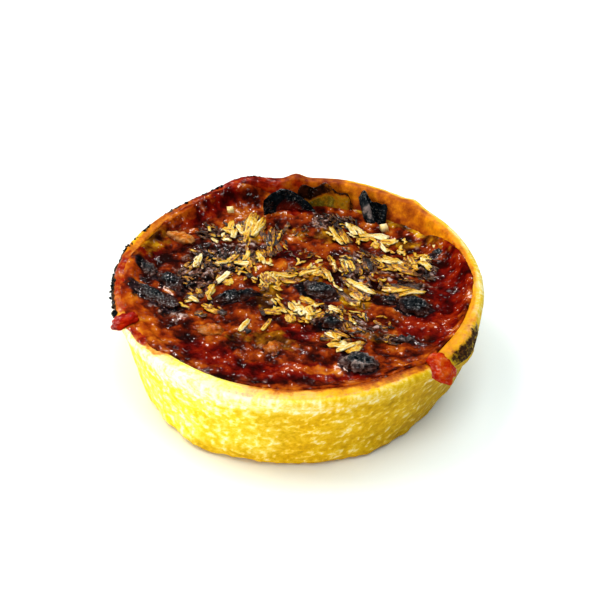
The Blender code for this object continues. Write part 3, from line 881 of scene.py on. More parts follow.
@dataclass(frozen=True)
class VegetableSkin:
    """Roasted vegetable skin and flesh, from charcoal black to soft orange, with an oily shine."""

    name: str
    colours: Stops
    low: str
    roughness: tuple[float, float] = (0.22, 0.5)
    grain_size: float = 1.11111 * MM
    contrast: float = 1.2
    bump: float = 0.6
    relief: float = 0.5 * MM
    beads: OilBeads = OilBeads(0.60, 0.67, 0.714286 * MM)

    def build(self) -> bpy.types.Material:
        """Makes the material. It reads the vertex attributes tone (along its colours) and proud."""
        material, tree, where = new_finish(self.name)
        tone, proud = (
            add_node(tree, "ShaderNodeAttribute", attribute_name=name).outputs["Fac"]
            for name in ("tone", "proud")
        )
        patch, grain = (
            add_node(
                tree,
                "ShaderNodeTexNoise",
                {"Vector": where, "Scale": 1.0 / size, "Detail": detail, "Roughness": 0.65},
            ).outputs[0]
            for size, detail in ((2.0 * self.grain_size, 6.0), (self.grain_size, 4.0))
        )
        varied = add_node(tree, "ShaderNodeMath", {0: patch, 1: 0.5}, operation="SUBTRACT").outputs[0]
        varied = add_node(
            tree, "ShaderNodeMath", {0: varied, 1: self.contrast, 2: tone}, operation="MULTIPLY_ADD"
        ).outputs[0]
        colour = add_node(tree, "ShaderNodeValToRGB", {"Fac": varied}, self.colours).outputs[0]
        sunk = add_node(
            tree,
            "ShaderNodeMapRange",
            {"Value": proud, "From Min": 0.1, "From Max": 0.45, "To Min": 0.85, "To Max": 0.0},
        ).outputs[0]
        colour = add_node(
            tree, "ShaderNodeMix", {0: sunk, MIX_A: colour, MIX_B: self.low}, data_type="RGBA"
        ).outputs[MIX_RESULT]
        normal = add_node(
            tree, "ShaderNodeBump", {"Strength": self.bump, "Distance": self.relief, "Height": grain}
        ).outputs[0]
        low, high = self.roughness
        rough = add_node(
            tree, "ShaderNodeMapRange", {"Value": grain, "To Min": low, "To Max": high}
        ).outputs[0]
        surface = {"Base Color": colour, "Roughness": rough, "Normal": normal, "IOR": 1.06}
        set_inputs(tree, tree.nodes["Principled BSDF"], surface)
        self.beads.lay(tree, where, normal)
        return material


# Its palest colours, reached on the ridges of its wrinkles, are painted highlights.
CHARRED = VegetableSkin(
    name="charred_vegetable_skin",
    colours=(
        (0.2, "#010203"),
        (0.42, "#04090c"),
        (0.54, "#0c1014"),
        (0.62, "#16191b"),
        (0.74, "#303031"),
        (0.92, "#8c7872"),
    ),
    low="#3a1408",
    roughness=(0.2, 0.4),
    beads=OilBeads(0.55, 0.62, 0.714286 * MM),
)
PEPPER = VegetableSkin(
    name="roasted_orange_pepper",
    colours=((0.15, "#4a1402"), (0.4, "#8c3804"), (0.6, "#b86008"), (0.85, "#cc9050")),
    low="#5c1602",
    roughness=(0.24, 0.4),
)
TOMATO = VegetableSkin(
    name="baked_tomato_flesh",
    colours=((0.15, "#680400"), (0.40, "#8e0d00"), (0.56, "#a62602"), (0.74, "#b44706"), (0.92, "#cc7430")),
    low="#6a0e02",
    roughness=(0.2, 0.35),
    grain_size=1.42857 * MM,
    bump=0.3,
)
ONION = VegetableSkin(
    name="browned_onion_petal",
    colours=(
        (0.05, "#0c0402"),
        (0.25, "#2a0e04"),
        (0.45, "#8c4606"),
        (0.62, "#96640a"),
        (0.8, "#5c440c"),
        (0.95, "#8c7220"),
    ),
    low="#4a1403",
    roughness=(0.10, 0.30),
    grain_size=1.25 * MM,
)


# ---------------------------------------------------------------- pastry case


@dataclass(frozen=True)
class RimStain:
    """Colour round the rim: its angle and spread (degrees), the band across the rim that it covers (0 is the
    outer edge and 1 the inner one), its strength and how softly it starts."""

    angle: float
    spread: float
    start: float
    end: float
    strength: float
    soft: float = 0.16
    soft_end: float = 0.1

    def at(self, angle: float, inward: float) -> float:
        """Its strength at a place of the rim."""
        away = abs((angle - self.angle + 180.0) % 360.0 - 180.0)
        along = 1.0 - ramp(0.55 * self.spread, 1.45 * self.spread, away)
        across = ramp(self.start - self.soft, self.start + self.soft, inward)
        across *= 1.0 - ramp(self.end - self.soft_end, self.end + self.soft_end, inward)
        return self.strength * along * across


@dataclass(frozen=True)
class PastryCase:
    """The pastry case: floury flecks on its wall, fine streaks and rings on its lip, sauce soaked into its
    rim, burnt and pale edges, and painted light and shade round its side."""

    form: CaseForm = CASE
    steps: int = 600
    wall_spacing: float = 0.5 * MM
    rim_spacing: float = 0.32 * MM
    hidden_spacing: float = 3.0 * MM
    hidden_below: float = 21.0 * MM
    wall_edges: int = 7
    last_lip_edge: int = 12
    rounding: int = 3
    dimple_size: float = 3.6 * MM
    fleck_size: float = 1.9 * MM
    foot_lump_size: float = 2.1 * MM
    streak_size: float = 0.6 * MM
    rings_per_mm: float = 6.5
    ring_wave_size: float = 9.0 * MM
    film_size: float = 3.0 * MM
    crust_size: float = 1.1 * MM
    stain_size: float = 5.0 * MM
    stain_edge_size: float = 1.6 * MM
    stain_band_size: float = 4.0 * MM
    # Size of the cloud that varies the painted light.
    painted_light_cloud_size: float = 9.0 * MM
    plain_tone: float = 0.46
    soaks: tuple[RimStain, ...] = (
        RimStain(-82.0, 26.0, 0.50, 9.0, 0.76, 0.28),
        RimStain(-92.0, 26.0, 0.20, 9.0, 0.30),
        RimStain(-90.0, 44.0, 0.82, 9.0, 0.85, 0.2),
        RimStain(-56.0, 14.0, 0.42, 9.0, 0.76, 0.28),
        RimStain(-31.0, 15.0, 0.24, 9.0, 0.38),
        RimStain(-14.0, 13.0, 0.55, 9.0, 0.42),
        RimStain(20.0, 24.0, 0.60, 9.0, 0.5),
        RimStain(226.0, 4.0, 0.40, 0.62, 0.32),
        RimStain(56.0, 22.0, 0.44, 9.0, 0.62),
        RimStain(84.0, 12.0, 0.16, 9.0, 0.78),
        RimStain(97.0, 7.0, -9.0, 9.0, 0.80),
        RimStain(116.0, 16.0, -9.0, 9.0, 0.85),
        RimStain(141.0, 13.0, 0.10, 9.0, 0.62),
        RimStain(160.0, 12.0, 0.40, 9.0, 0.6),
        RimStain(180.0, 18.0, -0.2, 9.0, 0.8),
        RimStain(212.0, 12.0, 0.35, 9.0, 0.5),
        RimStain(238.0, 12.0, 0.88, 9.0, 0.35),
    )
    sauces: tuple[RimStain, ...] = (
        RimStain(108.0, 14.0, 0.12, 9.0, 0.85),
        RimStain(129.0, 11.0, 0.20, 9.0, 0.55),
        RimStain(182.0, 16.0, 0.12, 9.0, 0.95),
        RimStain(206.0, 9.0, 0.22, 9.0, 1.0),
        RimStain(217.0, 6.0, 0.55, 9.0, 0.9),
        RimStain(0.0, 26.0, 0.96, 9.0, 0.95),
        RimStain(92.0, 10.0, 0.95, 9.0, 0.8),
    )
    burns: tuple[RimStain, ...] = (
        RimStain(-31.0, 8.5, -1.2, 0.36, 0.78),
        RimStain(178.0, 17.0, -1.5, 0.10, 1.0),
        RimStain(113.0, 7.0, -0.5, 0.40, 0.9),
        RimStain(131.0, 12.0, -0.5, 0.16, 0.6),
        RimStain(60.0, 12.0, -0.5, 0.10, 0.5),
    )
    redness: tuple[Bell, ...] = (
        Bell(192.0, 26.0, -0.06),
        Bell(70.0, 26.0, 0.06),
        Bell(128.0, 16.0, 0.10),
        Bell(100.0, 12.0, 0.06),
        Bell(-60.0, 60.0, 0.12),
    )
    # Painted light and shade round the side, by angle: light at the left, shade at the right and back right;
    # the next one paints light on the lip at the front left.
    painted_light_level: tuple[Bell, ...] = (Bell(212.0, 44.0, 1.15), Bell(-22.0, 42.0, -0.75), Bell(60.0, 60.0, -0.2))
    painted_light_lip: Bell = Bell(222.0, 46.0, 1.0)
    pale_edges: tuple[Bell, ...] = (
        Bell(-135.0, 42.0, 0.16),
        Bell(-84.0, 34.0, 0.10),
        Bell(0.0, 46.0, 0.17),
        Bell(52.0, 24.0, 0.08),
    )

    def profile(self) -> list[Vector]:
        """The outline with its corners rounded and points as close as its finest detail needs."""
        corners = [Vector((r, 0.0, z)) for r, z in self.form.outline()]
        points = [corners[0]]
        for number, (a, b) in enumerate(zip(corners, corners[1:])):
            spacing = self.wall_spacing if number < self.wall_edges else self.rim_spacing
            if number > self.last_lip_edge:
                spacing = self.rim_spacing * 2.0 if b.z > self.hidden_below else self.hidden_spacing
            count = max(1, round((b - a).length / spacing))
            points += [a.lerp(b, (i + 1) / count) for i in range(count)]
        for _ in range(self.rounding):
            middle = [(a + 2.0 * b + c) / 4.0 for a, b, c in zip(points, points[1:], points[2:])]
            points = [points[0], *middle, points[-1]]
        return points

    def relief(self, p: Vector, inward: float) -> tuple[float, float]:
        """The fine relief at a point of the plain case.

        Args:
            p: The point.
            inward: How far through the wall it lies.

        Returns:
            How far the surface stands out there, and how pale that makes it, about 0 to 1.
        """
        form = self.form
        shoulder = form.height - form.lip_height
        spot = Vector((p.x, p.y, 1.1 * p.z))
        dimple = crumple(*spot, self.dimple_size, 2)
        fleck = crumple(*(spot + Vector((0.3, 0.0, 0.0))), self.fleck_size, 3)
        raised = ramp(0.05, 0.42, fleck)
        wall = ramp(0.2 * MM, 3.0 * MM, p.z) * (1.0 - ramp(shoulder - 1.5 * MM, shoulder, p.z))
        foot = 1.0 - ramp(1.0 * MM, 4.5 * MM, p.z)
        out = wall * (0.12 * dimple + 0.12 * raised)
        out += foot * ramp(0.0, 0.4 * MM, p.z) * 0.45 * max(0.0, ripple(*p, self.foot_lump_size) + 0.1)
        pale = self.plain_tone + wall * (0.06 * dimple + 0.20 * raised)
        lip = ramp(shoulder - 3.5 * MM, shoulder - MM, p.z)
        angle = math.atan2(p.y, p.x)
        if lip > 0.0:
            arc = angle * form.rim_radius
            phase = p.xy.length / MM * self.rings_per_mm + 2.0 * ripple(*p, self.ring_wave_size)
            ring = lip * math.sin(phase) * ramp(0.1, 0.4, inward)
            streak = lip * ripple(arc, p.z * 0.12, p.xy.length * 0.3, self.streak_size)
            streak *= 1.0 - ramp(0.2, 0.6, inward)
            out += 0.04 * ring + 0.06 * streak + 0.08 * lip * dimple
            pale += 0.12 * streak + 0.03 * ring
        edge = 0.04 + sum(bell.at(math.degrees(angle)) for bell in self.pale_edges)
        edge *= ramp(shoulder - 4.0 * MM, shoulder - 0.6 * MM, p.z)
        pale += edge * (1.0 - 0.5 * ramp(0.4, 0.8, inward))
        return out * MM, pale

    def colours(self, plain: Vector, inward: float) -> dict[str, float]:
        """The colour attributes at a point of the plain case.

        Args:
            plain: The point.
            inward: How far through the wall it lies.

        Returns:
            How strong each of soak, sauce, burnt and ruddy is there, and the level of painted light and
            shade.
        """
        form = self.form
        angle = math.degrees(math.atan2(plain.y, plain.x))
        across = inward / (1.0 + form.front_wall.at(angle) / form.wall * ramp(0.3, 1.0, inward))
        wander = angle + 3.5 * ripple(*plain, self.stain_size) + 1.2 * ripple(*plain, self.stain_edge_size)
        across += 0.12 * crumple(*plain, self.stain_band_size, 4)
        soak, sauce, burnt = (
            max(stain.at(wander, across) for stain in stains)
            for stains in (self.soaks, self.sauces, self.burns)
        )
        inner = ramp(0.93, 1.02, inward) * (1.0 - 0.5 * ramp(form.height - 1.0 * MM, form.height, plain.z))
        soak = max(soak, (1.0 + 0.3 * ramp(0.0, 5.0 * MM, form.height - plain.z)) * inner)
        near_rim = ramp(20.0 * MM, 24.0 * MM, plain.z)
        edge_low = ramp(form.height - 5.5 * MM, form.height - 3.0 * MM, plain.z)
        # Painted light and shade: light at the left, shade at the right and back right, a band of painted
        # light along the lip at the front left, and less painted light near the foot.
        painted_light = sum(bell.at(angle) for bell in self.painted_light_level) + 0.25 * crumple(*plain, self.painted_light_cloud_size, 2)
        lip = ramp(form.height - 7.5 * MM, form.height - 5.0 * MM, plain.z)
        painted_light = painted_light * (1.0 - 0.8 * lip) + lip * (-0.25 + 1.3 * self.painted_light_lip.at(angle))
        painted_light -= 0.5 * (1.0 - ramp(0.5 * MM, 9.0 * MM, plain.z)) * ramp(0.0, 0.5, painted_light)
        return {
            "painted_light": painted_light,
            "soak": soak * near_rim * (edge_low if inward < 0.05 else 1.0),
            "sauce": sauce * near_rim * ramp(-0.1, 0.1, inward),
            "burnt": burnt * edge_low,
            "ruddy": sum(bell.at(angle) for bell in self.redness),
        }

    def build(self) -> bpy.types.Object:
        """Makes and dresses the case."""
        form = self.form
        bm = bmesh.new()
        names = ("relief", "painted_light", "soak", "sauce", "ruddy", "burnt")
        layers = {name: bm.verts.layers.float.new(name) for name in names}
        outline = [bm.verts.new(point) for point in self.profile()]
        edges = [bm.edges.new(pair) for pair in zip(outline, outline[1:])]
        full_turn = {"axis": (0, 0, 1), "cent": (0, 0, 0), "angle": math.tau, "use_merge": True}
        bmesh.ops.spin(bm, geom=outline + edges, steps=self.steps, **full_turn)
        bmesh.ops.remove_doubles(bm, verts=bm.verts, dist=0.005 * MM)
        bmesh.ops.holes_fill(bm, edges=[e for e in bm.edges if e.is_boundary])
        bmesh.ops.recalc_face_normals(bm, faces=bm.faces)
        places = []
        for vert in bm.verts:
            places.append(vert.co.copy())
            vert.co = form.place(vert.co)
        bm.normal_update()
        shifts = []
        for vert, plain in zip(bm.verts, places):
            inward = form.inward(plain)
            out, vert[layers["relief"]] = self.relief(plain, inward)
            for name, value in self.colours(plain, inward).items():
                vert[layers[name]] = value
            film = 0.3 * crumple(*plain, self.film_size, 4) + 0.1
            out += vert[layers["sauce"]] * film * MM * (1.0 - ramp(0.9, 1.0, inward))
            out += vert[layers["burnt"]] * 0.25 * MM * crumple(*plain, self.crust_size, 3)
            shifts.append(vert.normal * out)
        for vert, shift in zip(bm.verts, shifts):
            vert.co += shift
        return finish_piece("pastry_case_baked", bm, BakedPastry().build(), ["pastry_case"])


# ---------------------------------------------------------------- filling


class Tint(Enum):
    """The colours that lie over the filling, as the names of their vertex attributes."""

    MAROON = "maroon"
    ORANGE = "orange"
    AMBER = "amber"
    BURNT = "burnt"
    CHARRED = "charred"


@dataclass(frozen=True)
class Patch:
    """A patch of one tint on the filling (mm and degrees)."""

    tint: Tint
    x: float
    y: float
    along: float
    across: float
    heading: float = 0.0
    strength: float = 1.0

    def at(self, x: float, y: float) -> float:
        """Its strength at a place."""
        turn = math.radians(self.heading)
        dx, dy = x / MM - self.x, y / MM - self.y
        along = (dx * math.cos(turn) + dy * math.sin(turn)) / self.along
        across = (dy * math.cos(turn) - dx * math.sin(turn)) / self.across
        return self.strength * (1.0 - ramp(0.5, 1.4, math.hypot(along, across)))


@dataclass(frozen=True)
class Filling:
    """The baked filling without what lies on it: a round sheet of pulp whose edge creeps up the inner wall
    and in places runs out over the rim as a thin film. Its skirt goes down to the floor, through given
    heights and that far inside the wall."""

    form: FillingForm = SURFACE
    cells: int = 308
    lump_size: float = 4.6 * MM
    bead_spacing: float = 2.5 * MM
    wrinkle_size: float = 1.5 * MM
    crinkle_size: float = 1.1 * MM
    wander: float = 1.6 * MM
    wander_size: float = 3.6 * MM
    skirt: tuple[tuple[float, float], ...] = ((20.0 * MM, 0.0), (7.0 * MM, 0.0), (4.3 * MM, 1.7 * MM))
    patches: tuple[Patch, ...] = (
        Patch(Tint.BURNT, -24.0, 13.0, 12.0, 8.0),
        Patch(Tint.BURNT, -31.0, 3.0, 8.0, 8.0, 0.0, 0.9),
        Patch(Tint.BURNT, -26.0, 27.0, 6.0, 5.0, 0.0, 0.85),
        Patch(Tint.BURNT, -37.0, -13.0, 7.0, 4.0, -35.0, 0.8),
        Patch(Tint.BURNT, 18.0, 12.0, 6.0, 9.0, 0.0, 0.85),
        Patch(Tint.BURNT, 10.0, 37.0, 6.0, 5.0, 0.0, 0.95),
        Patch(Tint.BURNT, 38.0, 12.0, 5.0, 6.0, 0.0, 0.8),
        Patch(Tint.BURNT, 6.0, -14.0, 8.0, 4.0, 0.0, 0.7),
        Patch(Tint.BURNT, 20.0, -20.0, 7.0, 4.0, -40.0, 0.65),
        Patch(Tint.BURNT, -16.0, 20.0, 6.0, 5.0, 0.0, 0.7),
        Patch(Tint.BURNT, 28.0, 8.0, 5.0, 4.0, 0.0, 0.6),
        Patch(Tint.BURNT, 34.0, 4.0, 8.0, 3.6, -20.0, 0.6),
        Patch(Tint.AMBER, -46.5, 25.0, 15.0, 3.6, 62.0, 0.4),
        Patch(Tint.AMBER, -9.0, -5.0, 8.5, 3.2, 84.0, 1.0),
        Patch(Tint.AMBER, 10.0, 28.5, 5.0, 4.0, 0.0, 0.7),
        Patch(Tint.AMBER, 0.0, 29.0, 4.0, 5.0, 0.0, 0.4),
        Patch(Tint.AMBER, 16.0, -4.0, 7.0, 4.0, -60.0, 0.9),
        Patch(Tint.AMBER, -14.0, 30.0, 8.0, 4.0, 82.0, 0.85),
        Patch(Tint.AMBER, -7.0, -26.0, 8.0, 4.0, -30.0, 0.62),
        Patch(Tint.AMBER, -17.0, -25.0, 5.0, 3.0, 0.0, 0.45),
        Patch(Tint.AMBER, 34.0, 26.0, 5.0, 3.0, 0.0, 0.75),
        Patch(Tint.AMBER, 22.0, -23.0, 5.0, 3.0, -30.0, 0.55),
        Patch(Tint.AMBER, 30.0, -1.0, 7.0, 3.0, 0.0, 0.75),
        Patch(Tint.AMBER, 12.0, -19.0, 4.0, 3.0, 0.0, 0.6),
        Patch(Tint.AMBER, 0.0, 4.0, 8.0, 2.6, 0.0, 0.65),
        Patch(Tint.ORANGE, -24.0, -20.5, 6.0, 3.4, -10.0, 0.95),
        Patch(Tint.ORANGE, -52.0, 2.0, 16.0, 3.4, 96.0, 1.0),
        Patch(Tint.ORANGE, -46.0, -16.0, 7.0, 3.6, -35.0, 0.9),
        Patch(Tint.ORANGE, -40.0, -24.5, 8.0, 3.0, -32.0, 0.8),
        Patch(Tint.MAROON, 42.0, -22.0, 8.0, 4.0, 62.0, 0.8),
        Patch(Tint.ORANGE, -8.0, 12.0, 5.0, 4.0, 0.0, 0.6),
        Patch(Tint.ORANGE, 7.0, -39.0, 6.0, 2.4, 0.0, 0.75),
        Patch(Tint.ORANGE, 24.0, -38.0, 6.0, 2.4, 30.0, 0.6),
        Patch(Tint.MAROON, 44.0, -2.0, 18.0, 5.5, 90.0, 1.0),
        Patch(Tint.MAROON, 36.0, -16.0, 10.0, 6.0, 40.0, 0.9),
        Patch(Tint.MAROON, -46.0, 16.0, 5.0, 5.0, 0.0, 0.9),
        Patch(Tint.MAROON, -5.0, 17.0, 5.0, 6.0, 0.0, 0.85),
        Patch(Tint.MAROON, 0.0, -40.0, 24.0, 5.0, 0.0, 0.9),
        Patch(Tint.MAROON, -24.0, -33.0, 12.0, 5.0, -28.0, 0.85),
        Patch(Tint.MAROON, 0.0, -22.0, 6.0, 5.0, 0.0, 0.8),
        Patch(Tint.MAROON, -28.0, 44.0, 13.0, 6.0, 38.0, 0.9),
        Patch(Tint.MAROON, -1.0, 41.0, 7.0, 3.0, 0.0, 0.95),
    )
    creeps: tuple[Bell, ...] = (
        Bell(2.0, 34.0, 0.85),
        Bell(190.0, 32.0, 1.1),
        Bell(133.0, 22.0, 0.75),
        Bell(104.0, 12.0, 0.4),
        Bell(-45.0, 18.0, 0.8),
        Bell(-95.0, 40.0, 0.7),
        Bell(58.0, 22.0, 0.25),
    )
    creep_reach: float = 5.0 * MM
    overflows: tuple[Bell, ...] = (
        Bell(189.0, 24.0, 2.9 * MM),
        Bell(216.0, 8.0, 1.4 * MM),
        Bell(128.0, 20.0, 1.7 * MM),
        Bell(4.0, 30.0, 0.9 * MM),
        Bell(-46.0, 9.0, 0.9 * MM),
        Bell(-92.0, 44.0, 0.7 * MM),
    )
    furthest: float = 2.5 * MM
    film: float = 0.35 * MM
    edges: tuple[tuple[Tint, Bell, float], ...] = (
        (Tint.ORANGE, Bell(-24.0, 10.0, 0.6), 1.2),
        (Tint.ORANGE, Bell(-46.0, 8.0, 0.8), 3.0),
        (Tint.MAROON, Bell(10.0, 24.0, 1.0), 3.0),
        (Tint.ORANGE, Bell(192.0, 26.0, 1.0), 4.0),
        (Tint.ORANGE, Bell(-75.0, 26.0, 0.6), 1.2),
        (Tint.AMBER, Bell(50.0, 26.0, 0.85), 3.0),
        (Tint.AMBER, Bell(156.0, 12.0, 0.6), 5.0),
        (Tint.ORANGE, Bell(136.0, 18.0, 0.6), 1.5),
        (Tint.MAROON, Bell(128.0, 20.0, 0.85), 5.0),
        (Tint.ORANGE, Bell(96.0, 10.0, 0.7), 2.2),
    )

    def relief(self, x: float, y: float, burnt: float) -> float:
        """Height of the fine relief in millimetres: wet pulp, or drier wrinkles where it is burnt."""
        pulp = 0.60 * crumple(x, y, 0.031, self.lump_size, 4)
        near = noise.voronoi(Vector((x, y, 0.02)) / self.bead_spacing)[0][0]
        pulp += 0.6 * (0.42 - near) + 0.12 * ripple(x, y, 0.06, 1.0 * MM)
        wrinkle = 0.25 - abs(ripple(x, y, 0.04, self.wrinkle_size))
        wrinkle += 0.4 * crumple(x, y, 0.05, self.crinkle_size, 2)
        return pulp * (1.0 - 0.6 * burnt) + wrinkle * burnt

    def overflow(self, angle: float) -> float:
        """How far the sauce has run out over the rim at an angle."""
        x, y = (50.0 * MM * side(math.radians(angle)) for side in (math.cos, math.sin))
        uneven = 1.0 + 0.6 * ripple(x, y, 0.02, 3.8 * MM) + 0.3 * ripple(x, y, 0.05, 1.3 * MM)
        far = sum(bell.at(angle) for bell in self.overflows) * uneven - 0.2 * MM
        return min(self.furthest, max(0.0, far))

    def climb(self, x: float, y: float) -> float:
        """How far the sauce has crept up towards the rim at its edge, in millimetres."""
        angle = math.degrees(math.atan2(y, x))
        share = min(1.0, sum(bell.at(angle) for bell in self.creeps))
        share *= 1.0 + 0.14 * ripple(x, y, 0.08, 6.0 * MM)
        over = ramp(0.1 * MM, 1.1 * MM, sum(bell.at(angle) for bell in self.overflows))
        share += (1.0 - share) * over
        top = CASE.height + CASE.rise(angle) - 0.3 * MM + over * (0.3 * MM + self.film)
        away = min(1.0, max(0.0, self.form.inside(x, y) / self.creep_reach))
        return max(0.2, share * (top - self.form.rolled(x, y)) / MM) * (1.0 - away) ** 1.8

    def tints(self, x: float, y: float) -> dict[Tint, float]:
        """How strong each tint is at a place."""
        wx = x + self.wander * ripple(x, y, 0.07, self.wander_size)
        wy = y + self.wander * ripple(x, y, 0.09, self.wander_size)
        found = dict.fromkeys(Tint, 0.0)
        for patch in self.patches:
            found[patch.tint] = max(found[patch.tint], patch.at(wx, wy))
        angle, inside = math.degrees(math.atan2(y, x)), self.form.inside(wx, wy)
        for tint, bell, reach in self.edges:
            close = 1.0 - ramp(0.4 * reach * MM, 1.3 * reach * MM, inside)
            found[tint] = max(found[tint], bell.at(angle) * close)
        for lump in LUMPS:
            if lump.finish is CHARRED:
                halo = 0.9 - 0.9 * ramp(0.85, 1.6, lump.away(wx, wy))
                found[Tint.CHARRED] = max(found[Tint.CHARRED], halo)
        return found

    def build(self) -> bpy.types.Object:
        """Makes and dresses the filling."""
        form, case = self.form, self.form.case
        bm = bmesh.new()
        bmesh.ops.create_grid(bm, x_segments=self.cells, y_segments=self.cells, size=1.0)
        layers = {tint: bm.verts.layers.float.new(tint.value) for tint in Tint}
        relief_layer = bm.verts.layers.float.new("relief")
        rim = [e for e in bm.edges if e.is_boundary]
        for vert in bm.verts:
            u, v = vert.co.xy
            u, v = u * math.sqrt(1.0 - v * v / 2.0), v * math.sqrt(1.0 - u * u / 2.0)
            angle, reach = math.degrees(math.atan2(v, u)), math.hypot(u, v)
            over = self.overflow(angle) - form.gap
            radius = reach * (case.inner_radius(angle, form.level) + over)
            for _ in range(3):
                x, y = radius * math.cos(math.radians(angle)), radius * math.sin(math.radians(angle))
                z = form.rolled(x, y) + self.climb(x, y) * MM
                radius = reach * (case.inner_radius(angle, z) + over)
            brink = 1.0 - ramp(0.0, 0.5 * MM, radius * (1.0 / max(reach, 0.01) - 1.0))
            z -= 1.4 * self.film * brink * ramp(0.0, 0.5 * MM, over)
            found = self.tints(x, y)
            for tint, strength in found.items():
                vert[layers[tint]] = strength
            relief = self.relief(x, y, found[Tint.BURNT])
            vert[relief_layer] = relief
            edge = 0.12 + 0.88 * ramp(1.2 * MM, 6.0 * MM, form.inside(x, y))
            vert.co = Vector((x, y, z + relief * edge * MM)) + case.shift(z)
        for z, less in self.skirt:
            grown = bmesh.ops.extrude_edge_only(bm, edges=rim)["geom"]
            rim = [e for e in grown if isinstance(e, bmesh.types.BMEdge) and e.is_boundary]
            for vert in {v for e in rim for v in e.verts}:
                middle = vert.co - case.shift(vert.co.z)
                angle = math.atan2(middle.y, middle.x)
                radius = case.inner_radius(math.degrees(angle), z) - form.gap - less
                vert.co = Vector((radius * math.cos(angle), radius * math.sin(angle), z)) + case.shift(z)
        bmesh.ops.holes_fill(bm, edges=rim)
        return finish_piece("filling_sauce", bm, TomatoSauce().build(), ["filling"])


# ---------------------------------------------------------------- lumps and standing sheets


HALF_LUMP = 0.54  # of a lump's length or width, with its bulges


@dataclass(frozen=True)
class Lump:
    """An uneven, wrinkled piece of vegetable set into the filling (mm and degrees). It is sunk by part of its
    height, its seed picks its bulges, and finer is its number of subdivisions."""

    name: str
    x: float
    y: float
    length: float
    width: float
    height: float
    sunk: float
    heading: float
    seed: int
    finish: VegetableSkin = CHARRED
    tone: float = 0.45
    wrinkle: float = 0.55
    finer: int = 5
    unevenness: float = 0.16
    fold_size: float = 1.9 * MM
    crease_size: float = 1.0 * MM

    def away(self, x: float, y: float, margin: float = 0.0) -> float:
        """How far a place is from its middle: 1 at its edge, or margin outside it."""
        turn = math.radians(self.heading)
        dx, dy = x - self.x * MM, y - self.y * MM
        along = (dx * math.cos(turn) + dy * math.sin(turn)) / (self.length * MM * HALF_LUMP + margin)
        across = (dy * math.cos(turn) - dx * math.sin(turn)) / (self.width * MM * HALF_LUMP + margin)
        return math.hypot(along, across)

    def build(self, material: bpy.types.Material) -> bpy.types.Object:
        """Makes and dresses the lump."""
        bm = bmesh.new()
        bmesh.ops.create_icosphere(bm, subdivisions=self.finer, radius=0.5)
        tone, proud = (bm.verts.layers.float.new(name) for name in ("tone", "proud"))
        size = Vector((self.length, self.width, self.height)) * MM
        for vert in bm.verts:
            way = vert.co.normalized()
            uneven = noise.noise(way * 1.6 + Vector((self.seed, 0.0, 0.0)))
            vert.co = vert.co * size * (1.0 + 2.0 * self.unevenness * uneven)
        bm.normal_update()
        shifts = []
        for vert in bm.verts:
            spot = vert.co + Vector((self.seed * 0.01, 0.0, 0.0))
            ridge = ripple(spot.x * 0.8, spot.y * 1.5, spot.z, self.fold_size)
            fold = self.wrinkle * (0.5 - abs(2.4 * ridge))
            fold += 0.6 * self.wrinkle * crumple(*spot, self.crease_size, 3)
            shifts.append(vert.normal * fold * MM)
            vert[proud] = (vert.co.z + (self.height / 2.0 - self.sunk) * MM) / (self.height * MM)
            # The fold term paints light on the ridges of its wrinkles and shade in its creases.
            vert[tone] = self.tone + 0.35 * fold + 0.2 * (1.0 - ramp(0.2, 0.55, vert[proud]))
        for vert, shift in zip(bm.verts, shifts):
            vert.co += shift
        x, y = self.x * MM, self.y * MM
        centre = Vector((x, y, SURFACE.height(x, y) + (self.height / 2.0 - self.sunk) * MM))
        bm.transform(Matrix.Translation(centre) @ Matrix.Rotation(math.radians(self.heading), 4, "Z"))
        return finish_piece(f"{self.name}_skin", bm, material, [self.name])


LUMPS = (
    Lump("char_chunk_centre", 6.0, -1.6, 11.4, 5.6, 4.4, 2.2, -22, 3),
    Lump("char_crescent_left", -18.8, -5.6, 12.6, 4.6, 4.0, 2.0, 16, 5, tone=0.4),
    Lump("char_chunk_right", 33.8, -8.6, 8.8, 7.2, 4.8, 2.2, -22, 7, tone=0.5),
    Lump("char_nib_right", 26.6, -5.4, 5.2, 3.0, 2.8, 1.4, -26, 12, finer=4),
    Lump("char_chunk_front", 17.0, -36.0, 9.8, 6.8, 4.8, 2.2, -16, 11, tone=0.6),
    Lump("char_chunk_mid_front", 9.4, -17.8, 6.2, 4.4, 3.6, 1.8, -20, 13, finer=4),
    Lump("char_sliver_front", 29.6, -24.2, 6.6, 2.4, 2.6, 1.4, 12, 17, finer=4),
    Lump("char_lobe_left", -42.2, -7.2, 16.2, 5.6, 3.4, 1.9, -38, 19, tone=0.4),
    Lump("char_lobe_mid_left", -38.2, 0.6, 10.0, 6.0, 3.2, 1.9, -52, 23, tone=0.42),
    Lump("char_lobe_back_left", -45.4, 7.4, 7.0, 4.2, 2.8, 1.6, -44, 8, tone=0.6),
    Lump("pepper_strip_left", -36.2, 23.4, 10.4, 3.6, 3.4, 1.6, -32, 29, PEPPER, 0.62, 0.35),
    Lump("pepper_slab_front_left", -25.0, -22.4, 8.0, 5.4, 3.0, 1.8, -24, 31, PEPPER, 0.45, 0.3),
    Lump("pepper_slab_front", -7.4, -29.4, 6.4, 6.0, 2.8, 1.8, -62, 37, PEPPER, 0.38, 0.3),
    Lump("char_bead_right", 42.6, 19.4, 2.6, 2.4, 2.4, 0.8, 0, 43, finer=3),
)


